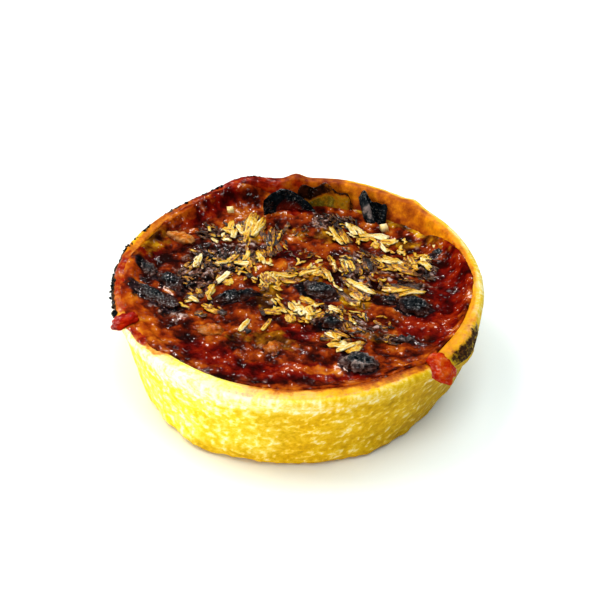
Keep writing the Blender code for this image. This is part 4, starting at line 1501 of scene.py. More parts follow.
@dataclass(frozen=True)
class StandingSheet:
    """A thin wavy piece that stands out of the filling. Each kind says where its points lie, from the place
    of its middle, its half length and its height (mm)."""

    name: str
    finish: VegetableSkin
    slot: str
    x: float
    y: float
    half_length: float
    height: float
    cuts: tuple[int, int] = (44, 18)
    thickness: float = 1.2 * MM
    plant: float = 1.6 * MM
    wrinkle: float = 0.45
    fold_size: float = 2.2 * MM

    def point(self, u: float, v: float) -> Vector:
        """The place of its middle for u from -1 to 1 along it and v from 0 at its foot to 1."""
        raise NotImplementedError

    def tone(self, u: float, v: float) -> float:
        """Its place along the finish's colours."""
        return 0.42

    def proud(self, u: float, v: float) -> float:
        """How far it stands clear of the sauce: it takes the sauce's colour below 0.45."""
        return 0.1 + 1.6 * v

    def near(self, x: float, y: float, margin: float) -> bool:
        """Whether a place is under it or within margin of it."""
        spots = (self.point(step / 4.0 - 1.0, v) for step in range(9) for v in (0.0, 1.0))
        return any(math.hypot(x - p.x, y - p.y) < self.thickness + margin for p in spots)

    def build(self) -> bpy.types.Object:
        """Makes and dresses the sheet."""
        bm = bmesh.new()
        bmesh.ops.create_cube(bm, size=1.0)
        for axis, cuts in enumerate(self.cuts):
            across = [e for e in bm.edges if abs(e.verts[0].co[axis] - e.verts[1].co[axis]) > 0.5]
            bmesh.ops.subdivide_edges(bm, edges=across, cuts=cuts, use_grid_fill=True)
        tone, proud = (bm.verts.layers.float.new(name) for name in ("tone", "proud"))
        step = 0.01
        for vert in bm.verts:
            u, v, side = 2.0 * vert.co.x, vert.co.y + 0.5, 2.0 * vert.co.z
            middle = self.point(u, v)
            along = self.point(u + step, v) - self.point(u - step, v)
            upward = self.point(u, v + step) - self.point(u, v - step)
            normal = along.cross(upward).normalized()
            thin = 1.0 - 0.55 * ramp(0.7, 1.0, v) - 0.45 * ramp(0.8, 1.0, abs(u))
            fold = self.wrinkle * MM * crumple(middle.x, middle.y, middle.z * 0.7, self.fold_size, 3)
            vert.co = middle + normal * (side * 0.5 * self.thickness * thin + fold)
            # The fold term shifts the tone with its wrinkles, which on the charred sheets paints light on
            # their ridges and shade in their creases.
            vert[tone] = self.tone(u, v) + 0.35 * fold / MM
            vert[proud] = self.proud(u, v)
        return finish_piece(f"{self.name}_skin", bm, self.finish.build(), [self.name])


@dataclass(frozen=True)
class CharCurl(StandingSheet):
    """A blackened strip of skin, tall at its left end and in the middle."""

    name: str = "char_curl_back"
    finish: VegetableSkin = replace(CHARRED, name="charred_curled_skin", low="#5c1204")
    slot: str = "charred"
    x: float = -3.0
    y: float = 39.0
    half_length: float = 8.2
    height: float = 4.2
    arch: float = 3.4
    bow: float = 2.6

    def point(self, u: float, v: float) -> Vector:
        """The place of its middle. It is tallest at its left end, and arches and bows back in the middle."""
        x = (self.x + self.half_length * u) * MM
        t = min(1.0, max(0.0, (u + 1.0) / 2.0))
        y = (self.y + 1.1 * (u + 1.0) + self.bow * math.sin(math.pi * t)) * MM
        arch = self.arch * math.sin(math.pi * t**0.8) * (1.0 - 0.3 * t)
        tall = (self.height * (1.0 - t) ** 0.8 + arch + 0.8) * MM
        foot = SURFACE.height(x, y) - self.plant
        lean_back = 1.3 * MM * v * math.sin(math.pi * t)
        return Vector((x, y + lean_back, foot + (tall + self.plant) * v))

    def proud(self, u: float, v: float) -> float:
        """How far it stands clear of the sauce, which fills the hollow under its arch."""
        arch = 1.0 - ramp(0.35, 0.75, abs(u - 0.05))
        return 0.1 + 1.6 * v - 0.62 * arch + 0.2 * ripple(4.0 * u, 3.0 * v, 0.5, 1.0)


@dataclass(frozen=True)
class OnionPetal(StandingSheet):
    """A cupped, browned onion petal that stands against the back of the case, its top edge jagged."""

    name: str = "onion_petal_back"
    finish: VegetableSkin = ONION
    slot: str = "onion"
    x: float = 7.2
    y: float = 45.6
    half_length: float = 9.4
    height: float = 8.4
    cupped: float = 1.4
    jag: float = 0.9
    wrinkle: float = 0.16

    def point(self, u: float, v: float) -> Vector:
        """The place of its middle."""
        x = (self.x + self.half_length * u + 0.8 * v) * MM
        y = (self.y - self.cupped * u * u + 1.8 * v) * MM
        tall = (self.height - 2.6 * u * u - 1.0 * u + self.jag * math.sin(8.0 * u + 1.0)) * MM
        tall *= 1.0 - 0.45 * ramp(0.8, 1.0, abs(u))
        foot = SURFACE.height(x, 45.0 * MM) - self.plant
        return Vector((x, y, foot + tall * v))

    def tone(self, u: float, v: float) -> float:
        """Dark brown at its upper left, olive low down and amber at the right."""
        brown = max(ramp(0.50, 0.72, v - 0.25 * u) * (1.0 - ramp(0.0, 0.5, u)), 0.8 * ramp(0.84, 0.96, v))
        brown = max(brown, 0.7 * ramp(0.86, 0.98, abs(u)))
        olive = (1.0 - ramp(0.45, 0.75, v)) * (1.0 - ramp(0.25, 0.7, abs(u + 0.05)))
        return 0.56 - 0.42 * brown + 0.24 * olive


@dataclass(frozen=True)
class CharFlake(StandingSheet):
    """A crumpled black flake with two tips that leans on the back right of the case."""

    name: str = "char_flake_back"
    finish: VegetableSkin = CHARRED
    slot: str = "charred"
    x: float = 24.4
    y: float = 38.4
    half_length: float = 4.4
    height: float = 8.0
    tip: float = 2.6
    fold: float = 0.9
    lean: float = 4.0
    cuts: tuple[int, int] = (26, 26)
    wrinkle: float = 0.3

    def point(self, u: float, v: float) -> Vector:
        """The place of its middle. It widens and leans back as it rises, and its left tip is the tallest."""
        side = self.half_length * MM * u
        fold = self.fold * MM * math.sin(3.4 * u + 4.0 * v)
        peak = math.exp(-(((u + 0.6) / 0.3) ** 2))
        tall = (self.height + self.tip * peak + 0.5 * math.sin(7.0 * u) - 2.0 * ramp(0.75, 1.0, u)) * MM
        x = self.x * MM + side * (0.6 + 0.45 * v) - 0.8 * MM * v
        y = self.y * MM - 0.34 * side + self.lean * MM * v + fold
        foot = SURFACE.height(self.x * MM, self.y * MM) - self.plant
        return Vector((x, y, foot + tall * v))

    def tone(self, u: float, v: float) -> float:
        """Greyer on the facets that catch the light."""
        grey = ramp(0.0, 0.5, -u) * ramp(0.15, 0.3, v) * (1.0 - ramp(0.5, 0.75, v))
        return 0.42 + 0.16 * math.sin(3.4 * u + 4.0 * v + 1.0) + 0.34 * grey


SHEETS = (CharCurl(), OnionPetal(), CharFlake())


@dataclass(frozen=True)
class RimPiece:
    """A piece of tomato that lies over the rim, deep across it and wide along it (mm and degrees)."""

    name: str
    angle: float
    radius: float
    z: float
    deep: float
    wide: float
    thick: float
    tilt: float
    seed: int
    tone: float
    ragged: float
    fold_size: float = 2.0 * MM

    def build(self, material: bpy.types.Material) -> bpy.types.Object:
        """Makes and dresses the piece."""
        bm = bmesh.new()
        bmesh.ops.create_icosphere(bm, subdivisions=6, radius=0.5)
        tone, proud = (bm.verts.layers.float.new(name) for name in ("tone", "proud"))
        for vert in bm.verts:
            way = vert.co.normalized()
            bulge = 1.0 + 0.34 * noise.noise(way * 1.7 + Vector((0.0, self.seed, 0.0)))
            vert.co = vert.co * Vector((self.deep, self.wide, self.thick)) * MM * bulge
        bm.normal_update()
        shifts = []
        for vert in bm.verts:
            fold = self.ragged * crumple(vert.co.x, vert.co.y, vert.co.z + self.seed, self.fold_size, 4)
            shifts.append(vert.normal * fold * MM)
            # The fold term paints light on its ridges and shade in its folds.
            vert[tone] = self.tone + 0.4 * fold
            vert[proud] = 1.0
        for vert, shift in zip(bm.verts, shifts):
            vert.co += shift
        turn = Matrix.Rotation(math.radians(self.angle), 4, "Z")
        slope = Matrix.Rotation(math.radians(self.tilt), 4, "Y")
        bm.transform(turn @ Matrix.Translation((self.radius * MM, 0.0, self.z * MM)) @ slope)
        return finish_piece(f"{self.name}_flesh", bm, material, [self.name])


RIM_PIECES = (
    RimPiece("tomato_edge_left", 202.0, 53.6, 30.0, 8.4, 5.2, 3.4, 8.0, 47, 0.36, 0.25),
    RimPiece("tomato_spill_right", -43.5, 54.4, 27.0, 9.6, 8.0, 4.2, 34.0, 53, 0.58, 0.2),
)


# ---------------------------------------------------------------- cheese


class Browning(Enum):
    """How far a shred of cheese has baked, as its place on the cheese's colours."""

    BURNT = 0.12
    SCORCHED = 0.26
    TAN = 0.40
    GOLD = 0.58
    STRAW = 0.70
    CREAM = 0.84

    def darker(self) -> "Browning":
        """The next darker one, as of the cheese that lies underneath."""
        order = list(Browning)
        return order[max(1, order.index(self) - 1)]


@dataclass(frozen=True)
class Tuft:
    """A group of shreds that lie much the same way (mm and degrees)."""

    x: float
    y: float
    reach_x: float
    reach_y: float
    heading: float
    spread: float
    number: int
    length: float
    width: float
    browning: Browning


@dataclass(frozen=True)
class ShredRow:
    """One shred: where it lies, its heading in radians, its sizes, how far it bends and its browning."""

    x: float
    y: float
    turn: float
    length: float
    width: float
    depth: float
    bend: float
    browning: Browning

    def axis(self, along: float) -> tuple[float, float]:
        """A point of its middle line, from its tail at -0.5 to its tip at 0.5."""
        side = self.bend * self.length * (0.25 - along * along)
        px = self.x + along * self.length * math.cos(self.turn) - side * math.sin(self.turn)
        return px, self.y + along * self.length * math.sin(self.turn) + side * math.cos(self.turn)


def blocked(x: float, y: float, margin: float) -> bool:
    """Whether a place is on a lump, a standing sheet or the case, or within margin of one."""
    if any(lump.away(x, y, margin) < 1.0 for lump in LUMPS):
        return True
    if any(sheet.near(x, y, margin) for sheet in SHEETS):
        return True
    return math.hypot(x, y) > CASE.inner_radius(0.0, SURFACE.level) - SURFACE.edge_reach - margin


@dataclass(frozen=True)
class GratedCheese:
    """Grated cheese strewn over the filling, in tufts. Each shred is a bar that wobbles, tapers, crinkles and
    twists, and curls up or down at its ends."""

    name: str
    tufts: tuple[Tuft, ...]
    seed: int
    cuts: int = 7
    length_spread: float = 0.14
    width_spread: float = 0.15
    depth: tuple[float, float] = (1.0 * MM, 1.3 * MM)
    bend: float = 0.12
    clearance: float = 0.7 * MM
    raised: float = 0.45 * MM
    wobble: float = 0.3
    broad: float = 1.05
    taper: float = 0.3
    crinkle: float = 0.08
    soaked: float = 0.1
    curl: float = 0.8 * MM
    grooved: bool = True
    groove: float = 0.1

    def plan(self) -> list[ShredRow]:
        """Where each shred lies. One that would cross a larger piece is shortened or left out."""
        draw = random.Random(self.seed)
        rows = []
        for tuft in self.tufts:
            for _ in range(tuft.number):
                x = (tuft.x + tuft.reach_x * draw.uniform(-1.0, 1.0)) * MM
                y = (tuft.y + tuft.reach_y * draw.uniform(-1.0, 1.0)) * MM
                turn = math.radians(tuft.heading + tuft.spread * draw.uniform(-1.0, 1.0))
                length = tuft.length * MM * (1.0 + self.length_spread * draw.uniform(-1.0, 1.0))
                width = tuft.width * MM * (1.0 + self.width_spread * draw.uniform(-1.0, 1.0))
                depth = draw.uniform(*self.depth)
                bend = self.bend * draw.uniform(-1.0, 1.0)
                for shorter in (1.0, 0.8, 0.6):
                    row = ShredRow(x, y, turn, length * shorter, width, depth, bend, tuft.browning)
                    places = [row.axis(along) for along in (-0.5, -0.25, 0.0, 0.25, 0.5)]
                    if not any(blocked(*place, width / 2.0 + self.clearance) for place in places):
                        rows.append(row)
                        break
        return rows

    def build(self, material: bpy.types.Material) -> bpy.types.Object:
        """Makes and dresses the shreds as one piece."""
        pattern = block_pattern(f"{self.name}_pattern", self.cuts, 0.22, self.grooved)
        bm = bmesh.new()
        names = ("tone", "proud", "run", "cross")
        tone, proud, run, cross = (bm.verts.layers.float.new(name) for name in names)
        for number, row in enumerate(self.plan()):
            draw = random.Random(number)
            lift = 0.34 * row.depth * draw.random() + self.raised
            shade = row.browning.value + draw.uniform(-0.26, 0.14)
            tail_brown, tip_brown = draw.uniform(-0.12, 0.26), draw.uniform(-0.16, 0.18)
            twist, thin = draw.uniform(-0.6, 0.6), draw.uniform(0.38, 0.7)
            tail_rise, tip_rise = draw.uniform(-0.6, 0.5), draw.uniform(-0.5, 0.9)
            slant, key = draw.uniform(-0.12, 0.12), draw.uniform(0.0, 50.0)
            for vert in stamp(bm, pattern):
                along, across, up = vert.co
                side, top = abs(across), ramp(0.1, 0.4, up)
                groove = top * (1.0 - ramp(0.05, 0.3, side))
                vert[run] = along * row.length / MM * 0.45 + 3.0 * key
                vert[cross] = across * row.width / MM * 3.0 + 5.0 * key + up
                taper = 1.0 - self.taper * ramp(0.3, 0.5, abs(along))
                width = self.broad * row.width * taper
                width *= 1.0 + self.wobble * ripple(along * 3.5, across, key, 1.0)
                thick = row.depth * thin * (1.0 - 0.5 * ramp(0.3, 0.5, abs(along)))
                up -= self.groove * groove
                roll = twist * (along + 0.3)
                along += slant * across
                across, up = (
                    across * math.cos(roll) - up * thick / width * math.sin(roll),
                    up * math.cos(roll) + across * width / thick * math.sin(roll),
                )
                px, py = row.axis(along)
                across += self.crinkle * ripple(along * row.length / MM * 0.9, key, 0.0, 1.0)
                px -= across * width * math.sin(row.turn)
                py += across * width * math.cos(row.turn)
                rise = (tip_rise if along > 0.0 else tail_rise) * (2.0 * along) ** 2 * self.curl
                wave = (0.12 + 0.5 * self.crinkle) * ripple(along * row.length / MM, key, 0.5, 1.0)
                vert.co = Vector((px, py, SURFACE.height(px, py) + lift + rise + (up + wave) * thick))
                ends = tip_brown * ramp(0.05, 0.5, along) + tail_brown * ramp(0.05, 0.5, -along)
                # Paler along the shred's edges and darker down the groove of its top: painted highlight and
                # painted shade.
                vert[tone] = shade - ends + 0.14 * ramp(0.2, 0.4, side) - 0.08 * groove
                vert[proud] = up + 0.6 - self.soaked
        bpy.data.meshes.remove(pattern)
        return finish_piece(self.name, bm, material, ["filling"])


SHREDS = GratedCheese(
    name="cheese_shreds",
    seed=44,
    tufts=(
        Tuft(-13.8, 31.0, 2.2, 2.8, 82, 12, 6, 9.0, 1.7, Browning.GOLD),
        Tuft(-14.6, 38.6, 1.6, 0.6, 60, 22, 2, 5.4, 1.6, Browning.STRAW),
        Tuft(-14.2, 42.6, 0.3, 0.3, 96, 4, 1, 5.0, 1.7, Browning.GOLD),
        Tuft(-29.6, 34.6, 2.2, 1.2, -42, 14, 2, 7.0, 1.6, Browning.STRAW),
        Tuft(-21.5, 28.0, 4.6, 3.4, -66, 30, 6, 4.8, 1.6, Browning.STRAW),
        Tuft(-8.7, 22.0, 0.9, 5.0, 88, 6, 4, 8.6, 1.3, Browning.TAN),
        Tuft(-11.4, 15.5, 0.6, 1.6, -76, 10, 2, 6.6, 1.3, Browning.STRAW),
        Tuft(-30.3, 12.5, 0.7, 1.6, 84, 6, 2, 6.8, 1.4, Browning.CREAM),
        Tuft(-19.6, 12.6, 4.0, 2.4, 30, 60, 5, 4.6, 1.5, Browning.STRAW),
        Tuft(-22.4, 2.6, 0.5, 0.5, 52, 6, 1, 6.4, 1.6, Browning.CREAM),
        Tuft(-26.2, -3.0, 0.4, 0.4, 80, 5, 1, 6.0, 1.5, Browning.CREAM),
        Tuft(-10.4, 3.2, 2.4, 1.2, 100, 30, 4, 4.6, 1.5, Browning.GOLD),
        Tuft(-4.4, 6.0, 0.5, 0.4, 2, 4, 1, 7.6, 1.9, Browning.CREAM),
        Tuft(2.8, 7.4, 0.5, 0.4, 18, 6, 1, 6.6, 1.7, Browning.CREAM),
        Tuft(8.4, 6.0, 1.0, 1.4, -70, 10, 2, 5.0, 1.4, Browning.STRAW),
        Tuft(13.3, -1.6, 0.8, 1.0, -68, 5, 2, 11.0, 2.0, Browning.STRAW),
        Tuft(18.6, 1.0, 0.5, 0.5, -48, 4, 1, 11.0, 1.7, Browning.CREAM),
        Tuft(18.4, -4.4, 1.6, 1.6, -66, 14, 3, 5.4, 1.7, Browning.STRAW),
        Tuft(13.6, 11.4, 2.0, 1.4, -76, 8, 3, 6.4, 1.4, Browning.STRAW),
        Tuft(20.2, 11.6, 1.2, 1.0, -62, 20, 2, 6.6, 1.6, Browning.SCORCHED),
        Tuft(28.6, 14.6, 3.2, 1.6, -22, 32, 5, 5.0, 1.8, Browning.CREAM),
        Tuft(31.2, 11.4, 0.5, 0.4, -46, 4, 1, 10.0, 2.2, Browning.GOLD),
        Tuft(36.6, 14.6, 2.0, 2.4, -40, 40, 3, 6.0, 1.5, Browning.CREAM),
        Tuft(26.4, 27.2, 1.6, 1.4, 10, 30, 2, 4.4, 2.0, Browning.CREAM),
        Tuft(26.4, 24.0, 0.6, 0.6, -70, 8, 1, 6.0, 1.3, Browning.CREAM),
        Tuft(17.4, 33.6, 1.8, 0.8, -66, 8, 3, 7.0, 1.8, Browning.CREAM),
        Tuft(23.6, 30.6, 0.6, 0.4, 4, 5, 1, 9.0, 1.7, Browning.STRAW),
        Tuft(13.2, 26.8, 1.9, 1.4, -68, 7, 3, 9.4, 1.6, Browning.STRAW),
        Tuft(30.0, -0.6, 1.0, 0.6, -4, 8, 2, 10.0, 2.3, Browning.GOLD),
        Tuft(33.4, -2.9, 0.3, 0.2, 6, 4, 1, 8.4, 1.5, Browning.CREAM),
        Tuft(4.4, -6.6, 0.5, 0.4, -34, 6, 1, 6.6, 2.2, Browning.CREAM),
        Tuft(0.6, -12.0, 3.4, 2.0, -66, 26, 6, 5.0, 1.9, Browning.CREAM),
        Tuft(-7.6, -13.4, 1.2, 0.8, 24, 24, 2, 4.4, 2.0, Browning.GOLD),
        Tuft(9.6, -12.2, 1.0, 0.8, -46, 10, 2, 4.4, 1.5, Browning.CREAM),
        Tuft(11.0, -23.4, 1.8, 2.0, -42, 24, 4, 5.0, 1.6, Browning.STRAW),
        Tuft(13.8, -29.2, 1.2, 0.8, 24, 12, 2, 6.4, 1.6, Browning.CREAM),
        Tuft(-26.0, -12.2, 1.8, 1.2, -34, 12, 2, 4.2, 1.8, Browning.GOLD),
        Tuft(-31.0, -8.0, 0.6, 0.6, -24, 20, 1, 3.6, 1.6, Browning.STRAW),
        Tuft(-41.6, 6.6, 0.3, 0.3, 28, 5, 1, 5.6, 1.5, Browning.CREAM),
        Tuft(-14.0, -23.0, 5.0, 3.0, 70, 30, 2, 4.8, 1.3, Browning.GOLD),
    ),
)

UNDER_SHREDS = GratedCheese(
    name="cheese_melted_shreds",
    seed=5,
    cuts=5,
    length_spread=0.3,
    width_spread=0.3,
    depth=(0.7 * MM, 1.0 * MM),
    bend=0.4,
    clearance=-0.2 * MM,
    raised=0.05 * MM,
    wobble=0.6,
    crinkle=0.4,
    curl=0.4 * MM,
    soaked=0.3,
    grooved=False,
    groove=0.0,
    tufts=tuple(
        replace(
            tuft,
            reach_x=tuft.reach_x + 2.0,
            reach_y=tuft.reach_y + 1.8,
            spread=tuft.spread + 26.0,
            number=tuft.number + 1,
            length=0.7 * tuft.length,
            width=1.1 * tuft.width,
            browning=tuft.browning.darker().darker(),
        )
        for tuft in SHREDS.tufts
    ),
)

FINE_SHREDS = GratedCheese(
    name="cheese_fine_shreds",
    seed=7,
    cuts=4,
    length_spread=0.4,
    width_spread=0.3,
    depth=(0.55 * MM, 0.9 * MM),
    bend=0.3,
    clearance=-0.5 * MM,
    raised=0.45 * MM,
    wobble=0.4,
    taper=0.5,
    crinkle=0.9,
    curl=0.6 * MM,
    grooved=False,
    groove=0.0,
    tufts=(
        Tuft(-24.0, 14.0, 9.0, 6.5, -80, 50, 52, 3.0, 0.62, Browning.BURNT),
        Tuft(-24.0, 13.0, 9.0, 6.0, -70, 50, 20, 2.8, 0.7, Browning.TAN),
        Tuft(-30.0, 4.0, 6.0, 6.0, 70, 60, 30, 2.8, 0.62, Browning.SCORCHED),
        Tuft(-24.0, 28.0, 7.0, 5.0, -40, 70, 26, 2.8, 0.62, Browning.SCORCHED),
        Tuft(-22.0, 27.0, 6.0, 4.0, -60, 60, 7, 3.0, 0.86, Browning.CREAM),
        Tuft(-12.0, 24.0, 6.0, 8.0, 86, 20, 18, 3.8, 0.66, Browning.TAN),
        Tuft(-13.0, 8.0, 6.0, 7.0, -76, 50, 16, 3.0, 0.86, Browning.GOLD),
        Tuft(-8.6, 2.0, 2.8, 3.6, 100, 60, 16, 2.8, 0.86, Browning.GOLD),
        Tuft(-18.0, 6.0, 5.0, 4.0, 60, 80, 8, 2.8, 0.8, Browning.GOLD),
        Tuft(4.0, 10.0, 6.0, 4.0, 40, 80, 8, 2.8, 0.8, Browning.GOLD),
        Tuft(36.0, 18.0, 5.0, 4.0, -50, 60, 8, 2.8, 0.8, Browning.STRAW),
        Tuft(-7.0, -9.0, 3.4, 4.0, 80, 70, 10, 2.8, 0.8, Browning.GOLD),
        Tuft(18.0, 12.0, 6.0, 9.0, -66, 36, 44, 3.0, 0.62, Browning.SCORCHED),
        Tuft(16.0, 8.0, 6.0, 8.0, -66, 34, 10, 3.4, 0.86, Browning.STRAW),
        Tuft(12.0, 36.0, 7.0, 4.5, -60, 60, 34, 2.8, 0.62, Browning.BURNT),
        Tuft(15.0, 29.0, 6.0, 4.0, -66, 26, 10, 3.8, 0.8, Browning.STRAW),
        Tuft(30.0, 14.0, 7.0, 5.0, -40, 60, 20, 2.6, 0.8, Browning.TAN),
        Tuft(36.0, 10.0, 6.0, 6.0, -40, 60, 28, 2.6, 0.62, Browning.SCORCHED),
        Tuft(27.0, 24.0, 7.0, 4.0, -60, 50, 12, 3.0, 0.86, Browning.GOLD),
        Tuft(6.0, -13.0, 8.0, 4.5, -60, 50, 26, 2.6, 0.7, Browning.TAN),
        Tuft(2.0, -11.0, 6.0, 3.0, -60, 50, 8, 3.0, 0.86, Browning.CREAM),
        Tuft(8.0, -15.0, 8.0, 4.5, -40, 60, 26, 2.6, 0.62, Browning.SCORCHED),
        Tuft(16.0, -12.0, 5.0, 6.0, -50, 50, 14, 3.0, 0.86, Browning.GOLD),
        Tuft(14.0, -22.0, 6.0, 5.0, -40, 40, 18, 2.6, 0.7, Browning.TAN),
        Tuft(20.0, -20.0, 7.0, 7.0, -40, 50, 24, 2.8, 0.62, Browning.SCORCHED),
        Tuft(0.0, 6.0, 8.0, 3.0, 10, 60, 14, 2.4, 1.0, Browning.TAN),
        Tuft(-28.0, -9.0, 6.0, 5.0, -30, 50, 10, 3.0, 0.8, Browning.GOLD),
        Tuft(-36.0, -2.0, 7.0, 6.0, -40, 40, 8, 2.6, 0.7, Browning.TAN),
        Tuft(24.0, 2.0, 6.0, 4.0, -40, 60, 14, 2.6, 0.7, Browning.TAN),
        Tuft(0.0, 24.0, 7.0, 9.0, 80, 60, 26, 2.4, 0.6, Browning.SCORCHED),
    ),
)


@dataclass(frozen=True)
class Crumb:
    """A small cube of cheese (mm and degrees)."""

    x: float
    y: float
    z: float
    size: float
    heading: float


@dataclass(frozen=True)
class CheeseCrumbs:
    """The few small cubes of cheese that lie apart from the shreds; z is above the filling."""

    crumbs: tuple[Crumb, ...] = (
        Crumb(-21.7, 38.8, 0.8, 2.0, 10.0),
        Crumb(27.0, 35.2, 1.2, 2.2, 20.0),
        Crumb(48.0, 1.6, 0.5, 1.2, 30.0),
        Crumb(42.0, 22.4, 0.5, 1.2, 12.0),
    )

    def build(self, material: bpy.types.Material) -> bpy.types.Object:
        """Makes and dresses the crumbs as one piece."""
        pattern = block_pattern("crumb_pattern", 1, 0.16)
        bm = bmesh.new()
        tone, proud = (bm.verts.layers.float.new(name) for name in ("tone", "proud"))
        for crumb in self.crumbs:
            x, y = crumb.x * MM, crumb.y * MM
            place = Matrix.Translation((x, y, SURFACE.height(x, y) + crumb.z * MM))
            turn = Matrix.Rotation(math.radians(crumb.heading), 4, "Z") @ Matrix.Rotation(0.2, 4, "X")
            for vert in stamp(bm, pattern):
                uneven = 1.0 + 0.3 * ripple(*(vert.co * 1.3), 1.0)
                vert[tone] = Browning.CREAM.value
                vert[proud] = 1.0
                vert.co = place @ turn @ (vert.co * crumb.size * MM * uneven)
        bpy.data.meshes.remove(pattern)
        return finish_piece("cheese_crumbs", bm, material, ["filling"])


@dataclass(frozen=True)
class CrumbRun:
    """A run of crumbs along the rim: its first and last angle in degrees, how many there are, their size in
    millimetres, and the band down the lip's outer edge that they cover (0 is its top and 1 its bottom)."""

    first: float
    last: float
    number: int
    size: float
    high: float
    low: float


@dataclass(frozen=True)
class CharredCrumbs:
    """Black crumbs that cling to the outer edge of the rim at the left and at the back left."""

    seed: int = 11
    runs: tuple[CrumbRun, ...] = (
        CrumbRun(160.0, 197.0, 150, 0.95, 0.3, 1.0),
        CrumbRun(118.0, 162.0, 110, 0.50, 0.0, 0.3),
        CrumbRun(100.0, 120.0, 60, 0.60, 0.0, 0.36),
    )
    per_clump: int = 8
    drop: float = 3.2

    def build(self, material: bpy.types.Material) -> bpy.types.Object:
        """Makes and dresses the crumbs as one piece."""
        draw = random.Random(self.seed)
        pattern = ball_pattern("charred_crumb_pattern", 2)
        bm = bmesh.new()
        tone, proud = (bm.verts.layers.float.new(name) for name in ("tone", "proud"))
        for run in self.runs:
            clumps = [draw.uniform(run.first, run.last) for _ in range(run.number // self.per_clump)]
            for _ in range(run.number):
                angle = math.radians(draw.choice(clumps) + draw.gauss(0.0, 1.0))
                down = draw.uniform(run.high, run.low)
                out = CASE.rim_radius - (0.3 + 1.2 * ramp(0.6, 1.0, 1.0 - down)) * MM
                z = CASE.height - (self.drop * down - 0.15) * MM
                spot = CASE.place(Vector((out * math.cos(angle), out * math.sin(angle), z)))
                width = run.size * MM * (0.5 + 1.5 * draw.random() ** 2)
                stretch = Vector((draw.uniform(0.7, 1.3), draw.uniform(0.7, 1.3), draw.uniform(0.6, 1.2)))
                key = draw.uniform(0.0, 90.0)
                for vert in stamp(bm, pattern):
                    jag = 1.0 + 0.9 * ripple(*(vert.co * 3.0 + Vector((key, 0.0, 0.0))), 1.0)
                    vert[tone] = 0.35
                    vert[proud] = 1.0
                    vert.co = spot + vert.co * stretch * width * jag
        bpy.data.meshes.remove(pattern)
        return finish_piece("charred_rim_crumbs", bm, material, ["pastry_case"])


# ---------------------------------------------------------------- studio


@dataclass(frozen=True)
class Lamp:
    """A square soft light that points at the quiche, or one that only makes glints on it."""

    name: str
    place: tuple[float, float, float]
    size: float
    power: float
    colour: str
    glints_only: bool = False


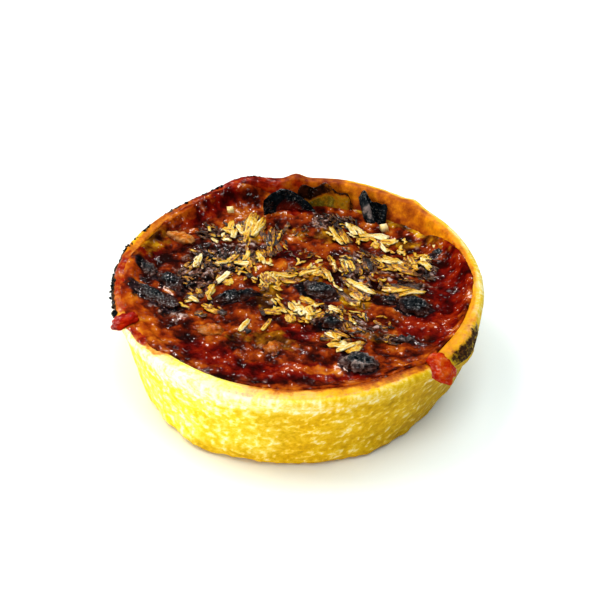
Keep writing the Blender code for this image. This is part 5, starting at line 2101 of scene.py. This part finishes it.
@dataclass(frozen=True)
class Studio:
    """The pale floor, the soft lights and the camera (metres, degrees and watts). The camera's shift frames
    the quiche, counted in pixels of a frame 600 wide."""

    floor_size: float = 6.0
    floor_colour: str = "#f2f2f0"
    floor_cloud_colour: str = "#f5f5f3"
    floor_cloud_size: float = 0.166667
    world_colour: str = "#e6f6fa"
    world_strength: float = 0.36
    camera_distance: float = 0.45
    camera_elevation: float = 37.0
    aim: tuple[float, float, float] = (0.0, 0.0, 0.030)
    lens: float = 91.32
    shift: tuple[float, float] = (1.0 / 600.0, -21.5 / 600.0)
    lamps: tuple[Lamp, ...] = (
        Lamp("window_left", (-0.62, 0.30, 0.90), 0.80, 11.5, "#fffaf2"),
        Lamp("low_window", (-0.80, -0.60, 0.22), 0.50, 6.4, "#fff8ea"),
        Lamp("ceiling", (0.40, -0.10, 1.40), 1.20, 18.5, "#eefcff"),
        Lamp("spot_left", (-0.42, 0.50, 0.80), 0.08, 6.0, "#fff0ee", True),
        Lamp("spot_back", (0.12, 0.68, 0.78), 0.08, 6.0, "#fff0ee", True),
    )

    def floor(self) -> bpy.types.Object:
        """The floor, in a plain pale finish."""
        bm = bmesh.new()
        bmesh.ops.create_grid(bm, x_segments=2, y_segments=2, size=self.floor_size / 2.0)
        mesh = pattern_mesh("floor", bm)
        material, tree, where = new_finish("white_matt_board")
        scale = 1.0 / self.floor_cloud_size
        cloud = add_node(tree, "ShaderNodeTexNoise", {"Vector": where, "Scale": scale}).outputs[0]
        shades = ((0.3, self.floor_colour), (0.7, self.floor_cloud_colour))
        colour = add_node(tree, "ShaderNodeValToRGB", {"Fac": cloud}, shades).outputs[0]
        set_inputs(tree, tree.nodes["Principled BSDF"], {"Base Color": colour, "Roughness": 0.8})
        mesh.materials.append(material)
        floor = bpy.data.objects.new("floor", mesh)
        bpy.context.scene.collection.objects.link(floor)
        return floor

    def light(self) -> None:
        """Adds the lamps and the even light of the room."""
        for lamp in self.lamps:
            data = bpy.data.lights.new(lamp.name, "AREA")
            data.size = lamp.size
            data.energy = lamp.power
            data.color = linear(lamp.colour)[:3]
            light = bpy.data.objects.new(lamp.name, data)
            light.location = lamp.place
            light.rotation_euler = (Vector(lamp.place) * -1.0).to_track_quat("-Z", "Y").to_euler()
            light.visible_diffuse = not lamp.glints_only
            bpy.context.scene.collection.objects.link(light)
        world = bpy.data.worlds.new("room")
        world.use_nodes = True
        background = world.node_tree.nodes["Background"]
        background.inputs["Color"].default_value = linear(self.world_colour)
        background.inputs["Strength"].default_value = self.world_strength
        bpy.context.scene.world = world

    def camera(self) -> bpy.types.Object:
        """The camera, looking down on the quiche from the front."""
        up = math.radians(self.camera_elevation)
        data = bpy.data.cameras.new("camera")
        data.lens = self.lens
        data.shift_x, data.shift_y = self.shift
        camera = bpy.data.objects.new("camera", data)
        back = Vector((0.0, -math.cos(up), math.sin(up)))
        camera.location = Vector(self.aim) + back * self.camera_distance
        camera.rotation_euler = (math.pi / 2.0 - up, 0.0, 0.0)
        bpy.context.scene.collection.objects.link(camera)
        bpy.context.scene.camera = camera
        return camera

    def build(self) -> None:
        """Makes the whole studio."""
        bpy.context.scene.view_settings.view_transform = "Standard"
        self.floor()
        self.light()
        self.camera()


def main() -> None:
    """Builds every piece of the quiche and the studio round it."""
    logging.basicConfig(level=logging.INFO, format="%(name)s %(message)s")
    Studio().build()
    PastryCase().build()
    Filling().build()
    skins = {finish: finish.build() for finish in (CHARRED, PEPPER, TOMATO)}
    for lump in LUMPS:
        lump.build(skins[lump.finish])
    for sheet in SHEETS:
        sheet.build()
    for piece in RIM_PIECES:
        piece.build(skins[TOMATO])
    cheese = BakedCheese().build()
    for shreds in (SHREDS, UNDER_SHREDS, FINE_SHREDS):
        shreds.build(cheese)
    CheeseCrumbs().build(cheese)
    CharredCrumbs().build(skins[CHARRED])


if __name__ == "__main__":
    main()
